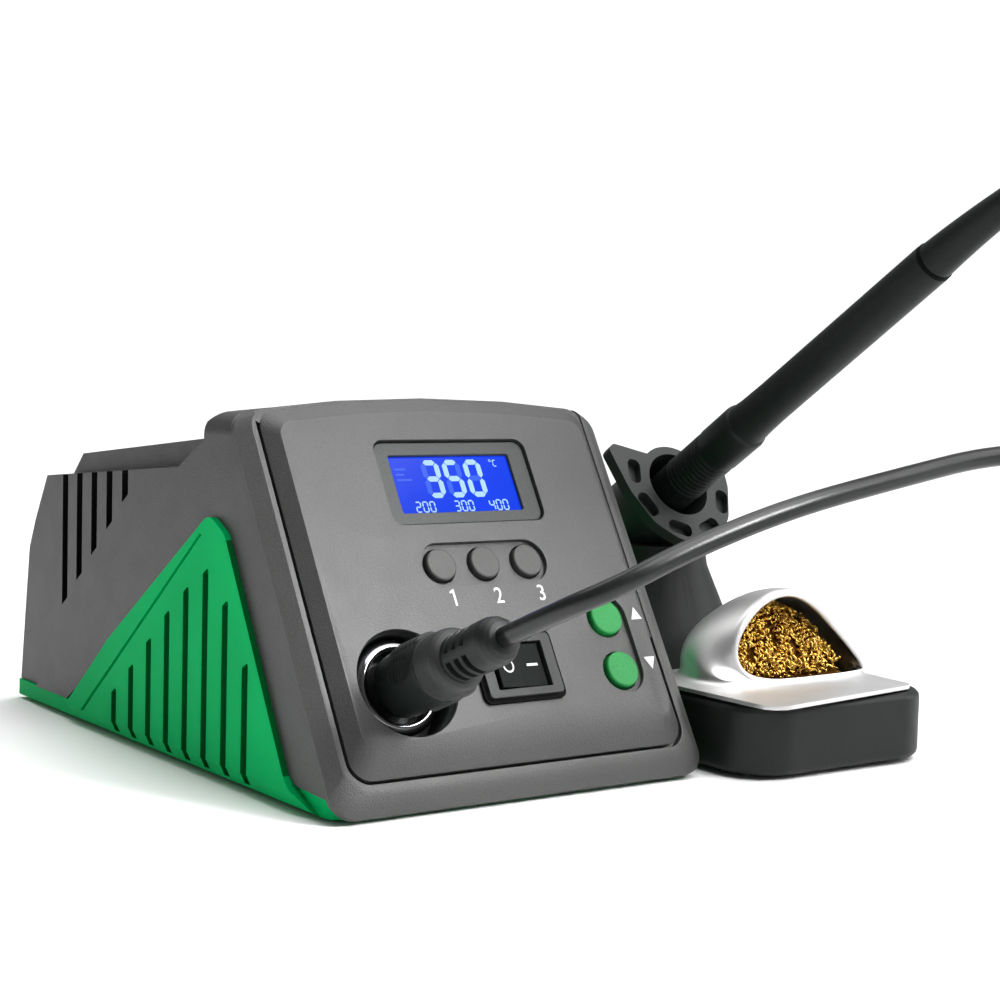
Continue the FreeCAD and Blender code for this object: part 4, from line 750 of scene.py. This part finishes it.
# ---------------------------------------------------------------- tip cleaner hood and wool
# millimetres in the stand's frame
MOUTH = [(27.0, 23.5, 20.6), (23.0, 24.1, 25.7), (17.1, 24.9, 31.5), (11.3, 25.7, 36.7), (5.3, 26.1, 39.9),
         (-0.8, 26.2, 40.4), (-6.9, 25.9, 38.6), (-12.0, 25.4, 35.0), (-15.2, 24.9, 31.3), (-16.4, 24.5, 28.0),
         (-15.9, 24.0, 24.8), (-13.4, 23.2, 22.2), (-8.6, 22.2, 20.8), (-2.0, 21.3, 20.3), (6.0, 20.6, 20.1),
         (14.0, 20.8, 20.0), (21.5, 21.9, 20.0)]
FOOT = [(27.0, 26.0), (26.6, 30.0), (25.4, 35.0), (22.0, 41.0), (15.0, 45.6), (5.0, 47.4), (-5.0, 47.4),
        (-15.0, 45.4), (-21.6, 40.6), (-24.6, 33.0), (-24.4, 26.6), (-21.2, 21.2), (-14.0, 18.4), (-4.0, 17.2),
        (6.0, 17.2), (16.0, 17.8), (24.0, 20.2)]
PLATE_TOP = 19.65
PLATE_CORNERS = [(-31.0, -5.0), (25.5, 3.2), (28.0, 49.0), (-32.0, 49.0)]
PLATE_ROUNDING = [5.0, 4.0, 4.0, 4.0]
AROUND = 136
DOME_CENTRE = Vector((0.5, 30.0))
DOME_STEPS = 18
LIP_STEPS = 8
SHEET = 0.7 * MM


def closed_curve(points, count):
    """Evenly counted points on a smooth closed curve through the given ones."""
    points = [Vector(p) for p in points]
    total = len(points)
    out = []
    for k in range(count):
        place = k * total / count
        index, t = int(place), place - int(place)
        a, b, c, d = (points[(index + j) % total] for j in (-1, 0, 1, 2))
        square, cube = 2 * a - 5 * b + 4 * c - d, 3 * b - 3 * c + d - a
        out.append(0.5 * ((2 * b) + (c - a) * t + square * t**2 + cube * t**3))
    return out


def plate_edge(centre, ahead):
    """Where a ray from centre meets the rounded plate outline."""
    best = None
    points = []
    count = len(PLATE_CORNERS)
    for index, radius in enumerate(PLATE_ROUNDING):
        here = Vector(PLATE_CORNERS[index])
        before = (Vector(PLATE_CORNERS[index - 1]) - here).normalized()
        after = (Vector(PLATE_CORNERS[(index + 1) % count]) - here).normalized()
        half = before.angle(after) / 2
        middle = here + (before + after).normalized() * radius / math.sin(half)
        start = here + before * radius / math.tan(half) - middle
        end = here + after * radius / math.tan(half) - middle
        for k in range(9):
            points.append(middle + start.lerp(end, k / 8).normalized() * radius)
    for a, b in zip(points, points[1:] + points[:1]):
        edge = b - a
        cross = ahead.x * edge.y - ahead.y * edge.x
        if abs(cross) < 1e-9:
            continue
        to = a - centre
        reach = (to.x * edge.y - to.y * edge.x) / cross
        share = (to.x * ahead.y - to.y * ahead.x) / cross
        if reach > 0 and -1e-6 <= share <= 1 + 1e-6 and (best is None or reach > best):
            best = reach
    return centre + ahead * best


def make_hood():
    """Pressed cover: rolled lip round the mouth, full dome, and a skirt that flows into the flat plate.

    Gives back a tree of its surface, to keep the wool inside it.
    """
    mouth = closed_curve(MOUTH, AROUND)
    foot = closed_curve([(x, y, 0) for x, y in FOOT], AROUND)
    middle = sum(mouth, Vector()) / AROUND
    back = Vector((0, 1, 0))
    columns = []
    for k in range(AROUND):
        edge, base = mouth[k], Vector((foot[k].x, foot[k].y))
        ahead = mouth[(k + 1) % AROUND] - mouth[k - 1]
        radial = edge - middle
        radial = (radial - ahead * radial.dot(ahead) / ahead.length_squared).normalized()
        high = min(1.0, max(0.0, (edge.z - 20.0) / 20.0))
        lip = 1.0 + 0.34 * high
        column = []
        # lip: from just inside the mouth, round its nose, to the start of the dome
        for step in range(LIP_STEPS):
            turn = math.radians(-50 + 190 * step / (LIP_STEPS - 1))
            out = lip * (1 - math.cos(turn))
            tuck = lip * (math.sin(turn) - 0.3) * (0.35 + 0.65 * high)
            column.append(edge + radial * out * 0.9 - back * tuck)
        # dome: an arch from the lip down to the foot, fuller where the mouth is low
        crest = column[-1]
        target = Vector((base.x, base.y, PLATE_TOP + 1.6))
        fullness = 0.42 + 0.30 * (1 - high)
        lift = max(crest.z - target.z, 0.0)
        for step in range(1, DOME_STEPS + 1):
            turn = math.pi / 2 * step / DOME_STEPS
            flat = Vector((crest.x, crest.y)).lerp(base, math.sin(turn))
            height = target.z
            if step < DOME_STEPS:
                height = min(crest.z, target.z) + lift * math.cos(turn) ** fullness
            column.append(Vector((flat.x, flat.y, height)))
        # skirt: from the foot into the flat plate, out to its rim and over it
        away = (base - DOME_CENTRE).normalized()
        limit = plate_edge(DOME_CENTRE, away)
        last = base + away * min(3.6, (limit - base).length * 0.7)
        for share, height in ((0.10, 1.0), (0.26, 0.55), (0.48, 0.22), (0.74, 0.05), (1.0, 0.0)):
            flat = base.lerp(last, share)
            column.append(Vector((flat.x, flat.y, PLATE_TOP + height)))
        for share, height in ((0.5, 0.0), (0.9, 0.0), (1.0, -0.12), (1.003, -0.5), (1.003, -1.1)):
            flat = last.lerp(limit, share)
            column.append(Vector((flat.x, flat.y, PLATE_TOP + height)))
        columns.append(column)
    bm = bmesh.new()
    grid = [[bm.verts.new(STAND @ (point * MM)) for point in ring] for ring in zip(*columns)]
    for low, high in zip(grid, grid[1:]):
        for k in range(AROUND):
            bm.faces.new((low[k], low[(k + 1) % AROUND], high[(k + 1) % AROUND], high[k]))
    bmesh.ops.recalc_face_normals(bm, faces=bm.faces)
    if sum(face.normal.z for face in bm.faces) < 0:
        bmesh.ops.reverse_faces(bm, faces=bm.faces)
    hood = add_mesh("cleaner_hood_pressed", bm, BRIGHT, "hood", 60.0)
    thickness = hood.modifiers.new("sheet", "SOLIDIFY")
    thickness.thickness = SHEET
    thickness.offset = -1.0
    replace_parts(hood, "cleaner_hood")
    points = [vertex.co for vertex in hood.data.vertices]
    return BVHTree.FromPolygons(points, [tuple(face.vertices) for face in hood.data.polygons])


WOOL_VOXEL = 1.1 * MM
WOOL_NECK = 19.0
WOOL_BURIED = 7.0
# curls: lowest height that gets any, height from which they show, least room under the hood, room for full size
CURL_LOW, CURL_SEEN, CURL_ROOM, CURL_FULL = 8.0 * MM, 20.7 * MM, 0.9 * MM, 1.6 * MM
OPEN_CURLS, HIDDEN_CURLS = 1200, 600
HIDDEN_SIZE = 0.45


def make_wool(cover):
    """Brass wool: a crumpled core, dark brown as painted shade between the curls, with curled ribbons all over it,
    smaller where the cover is near.
    """
    bm = bmesh.new()
    bm.from_mesh(NODES["brass_wool"].data)
    source = bpy.data.objects.new("wool_source", bpy.data.meshes.new("wool_source"))
    bm.to_mesh(source.data)
    bm.free()
    bpy.context.scene.collection.objects.link(source)
    remesh = source.modifiers.new("even", "REMESH")
    remesh.mode = "VOXEL"
    remesh.voxel_size = WOOL_VOXEL
    bpy.context.view_layer.update()
    mesh = bpy.data.meshes.new_from_object(source.evaluated_get(bpy.context.evaluated_depsgraph_get()))
    bpy.data.objects.remove(source)
    bm = bmesh.new()
    bm.from_mesh(mesh)
    bpy.data.meshes.remove(mesh)
    back = STAND.inverted()
    for vertex in bm.verts:
        place = back @ vertex.co / MM
        crumple = noise_module.noise(place * 0.33) * 1.5 + noise_module.noise(place * 0.9) * 0.8
        shift = vertex.normal * (crumple - 0.9) * MM
        if place.z > WOOL_NECK:
            # the part above the base is drawn in a little, away from the hood
            share = min(1.0, (place.z - WOOL_NECK) / 4.0)
            place.x += share * (place.x * (-0.12 if place.x > 0 else -0.20) - 1.0)
            place.y += share * -0.6
            place.z += share * (place.z - WOOL_NECK) * -0.05
        elif place.z < WOOL_BURIED:
            shift = Vector()
        vertex.co = STAND @ (place * MM) + shift
    bm.normal_update()
    turn_back = back.to_3x3()
    open_spots, hidden_spots = [], []
    for face in bm.faces:
        centre, normal = face.calc_center_median().copy(), face.normal.copy()
        height = (back @ centre).z
        room = cover.find_nearest(centre)[3]
        if height < CURL_LOW or room < CURL_ROOM:
            continue
        scale = min(1.0, room / CURL_FULL)
        if height > CURL_SEEN and (turn_back @ normal).y < 0.20:
            if noise_module.noise(centre / MM * 0.30) > -0.16:
                open_spots.append((centre, normal, scale))
        else:
            hidden_spots.append((centre - normal * 0.5 * MM, normal, min(scale, HIDDEN_SIZE)))
    spots = random.sample(open_spots, min(OPEN_CURLS, len(open_spots)))
    spots += random.sample(hidden_spots, min(HIDDEN_CURLS, len(hidden_spots)))
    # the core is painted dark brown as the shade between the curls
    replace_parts(add_mesh("brass_wool_shade_core", bm, BRASS_SHADE, "station", 60.0), "brass_wool")
    strands = bmesh.new()
    for spot in spots:
        curl(strands, *spot)
    add_mesh("brass_wool_strands", strands, BRASS, "station", 50.0)


def curl(bm, centre, normal, scale):
    """One ribbon wound in a loose curl that lies along the surface."""
    side = normal.orthogonal().normalized()
    side.rotate(Matrix.Rotation(random.uniform(0, 2 * math.pi), 3, normal))
    other = normal.cross(side)
    radius = random.uniform(0.5, 1.6) * MM * scale
    run = random.uniform(1.5, 4.0) * MM * scale**0.5
    turns = random.uniform(0.8, 2.0)
    wide = random.uniform(0.35, 0.70) * MM * scale**0.3
    steps = max(7, int(10 * turns))
    rows = []
    for k in range(steps + 1):
        share = k / steps
        turn = 2 * math.pi * turns * share
        bend = math.sin(share * math.pi) * run * 0.3
        hub = centre + side * run * (share - 0.5) + other * bend + normal * radius * 0.35
        out = normal * math.cos(turn) + other * math.sin(turn)
        place = hub + out * radius
        half = side * wide / 2 + out * random.uniform(-0.06, 0.06) * MM
        rise = out * 0.03 * MM
        corners = (-half - rise, half - rise, half + rise, -half + rise)
        rows.append([bm.verts.new(place + corner) for corner in corners])
    for low, high in zip(rows, rows[1:]):
        for k in range(4):
            bm.faces.new((low[k], low[(k + 1) % 4], high[(k + 1) % 4], high[k]))
    bm.faces.new(rows[0][::-1])
    bm.faces.new(rows[-1])


make_wool(make_hood())

# ---------------------------------------------------------------- cord
CORD_WIDE = 0.0045
LEAD_STRAIGHT = 0.020
RISER_STRAIGHT = 0.018
LEAD_ROUTE = [(-0.0202, -0.0546, 0.0570), (-0.0046, -0.0567, 0.0638), (0.0217, -0.0576, 0.0714),
              (0.0538, -0.0567, 0.0768), (0.0890, -0.0556, 0.0822), (0.1240, -0.0640, 0.0820),
              (0.1370, -0.0810, 0.0630), (0.1365, -0.0940, 0.0360), (0.1290, -0.1050, 0.0120)]
RISER_ROUTE = [(0.0880, -0.1050, 0.1530), (0.0820, -0.1180, 0.1350), (0.0750, -0.1190, 0.1080),
               (0.0690, -0.1120, 0.0820), (0.0655, -0.1030, 0.0560), (0.0640, -0.0980, 0.0320),
               (0.0647, -0.1080, 0.0140)]
COIL_CENTRE = Vector((0.0940, -0.1220, 0.0))
COIL_OUTER = 0.02925
COIL_INNER = 0.02475
COIL_DEGREES = 1260
COIL_STEP = 18


def coil_points():
    """Three and a half turns, clockwise from above: out, in, then up and back out again."""
    points = []
    low, high = CORD_WIDE / 2, CORD_WIDE * 1.5
    stages = [(300, 360, "in"), (600, 660, "up"), (900, 960, "out")]
    for phase in range(0, COIL_DEGREES + 1, COIL_STEP):
        share = {name: min(1.0, max(0.0, (phase - start) / (end - start))) for start, end, name in stages}
        across = COIL_OUTER + (COIL_INNER - COIL_OUTER) * (share["in"] - share["out"])
        rise = low + (high - low) * share["up"]
        turn = math.radians(-phase)
        points.append(COIL_CENTRE + Vector((across * math.cos(turn), across * math.sin(turn), rise)))
    return points


def spline_line(name, points, per_part=10):
    """The smooth line that a NURBS spline through those control points draws."""
    curve = bpy.data.curves.new(name, "CURVE")
    curve.dimensions = "3D"
    curve.resolution_u = per_part
    spline = curve.splines.new("NURBS")
    spline.points.add(len(points) - 1)
    for point, place in zip(spline.points, points):
        point.co = (*place, 1.0)
    spline.order_u = 3
    spline.use_endpoint_u = True
    obj = bpy.data.objects.new(name, curve)
    bpy.context.scene.collection.objects.link(obj)
    bpy.context.view_layer.update()
    mesh = bpy.data.meshes.new_from_object(obj.evaluated_get(bpy.context.evaluated_depsgraph_get()))
    line = [vertex.co.copy() for vertex in mesh.vertices]
    bpy.data.objects.remove(obj)
    bpy.data.curves.remove(curve)
    bpy.data.meshes.remove(mesh)
    return line


def tube(bm, line, radius, sides=20):
    """Skins a line with rings that are carried along it without twisting, and closes its ends."""
    ahead = (line[1] - line[0]).normalized()
    side = ahead.orthogonal().normalized()
    rings = []
    for index, place in enumerate(line):
        before, after = line[max(0, index - 1)], line[min(len(line) - 1, index + 1)]
        along = (after - before).normalized()
        side = (side - along * side.dot(along)).normalized()
        other = along.cross(side)
        ring = []
        for k in range(sides):
            angle = 2 * math.pi * k / sides
            ring.append(bm.verts.new(place + (side * math.cos(angle) + other * math.sin(angle)) * radius))
        rings.append(ring)
    for low, high in zip(rings, rings[1:]):
        for k in range(sides):
            bm.faces.new((low[k], low[(k + 1) % sides], high[(k + 1) % sides], high[k]))
    bm.faces.new(rings[0][::-1])
    bm.faces.new(rings[-1])


PLUG_END = 0.039
RELIEF_LONG = 0.039
RELIEF_DROP = 0.0025
RELIEF_REACH = 0.146


def make_cord():
    """One cord from the plug to the iron."""
    start = [PLUG @ Vector((0, 0, PLUG_END)), PLUG @ Vector((0, 0, PLUG_END + LEAD_STRAIGHT))]
    lead = [STATION @ Vector(p) for p in LEAD_ROUTE]
    coil = [STATION @ p for p in coil_points()]
    riser = [STATION @ Vector(p) for p in RISER_ROUTE[::-1]]
    bend = 2 * math.atan2(RELIEF_DROP, RELIEF_LONG)
    tail = FUNNEL @ Vector((0, -RELIEF_DROP, RELIEF_REACH))
    ahead = (FUNNEL.to_3x3() @ Vector((0, -math.sin(bend), math.cos(bend)))).normalized()
    route = start + lead + coil + riser + [tail + ahead * RISER_STRAIGHT, tail]
    line = spline_line("cord_line", route)
    bm = bmesh.new()
    tube(bm, line, CORD_WIDE / 2)
    cord = add_mesh("cord", bm, CORD, None)
    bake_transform(cord)
    return cord, line, start[0]


cord, cord_line, cord_start = make_cord()
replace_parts(cord, "cord_lead", "cord_coil", "cord_riser")
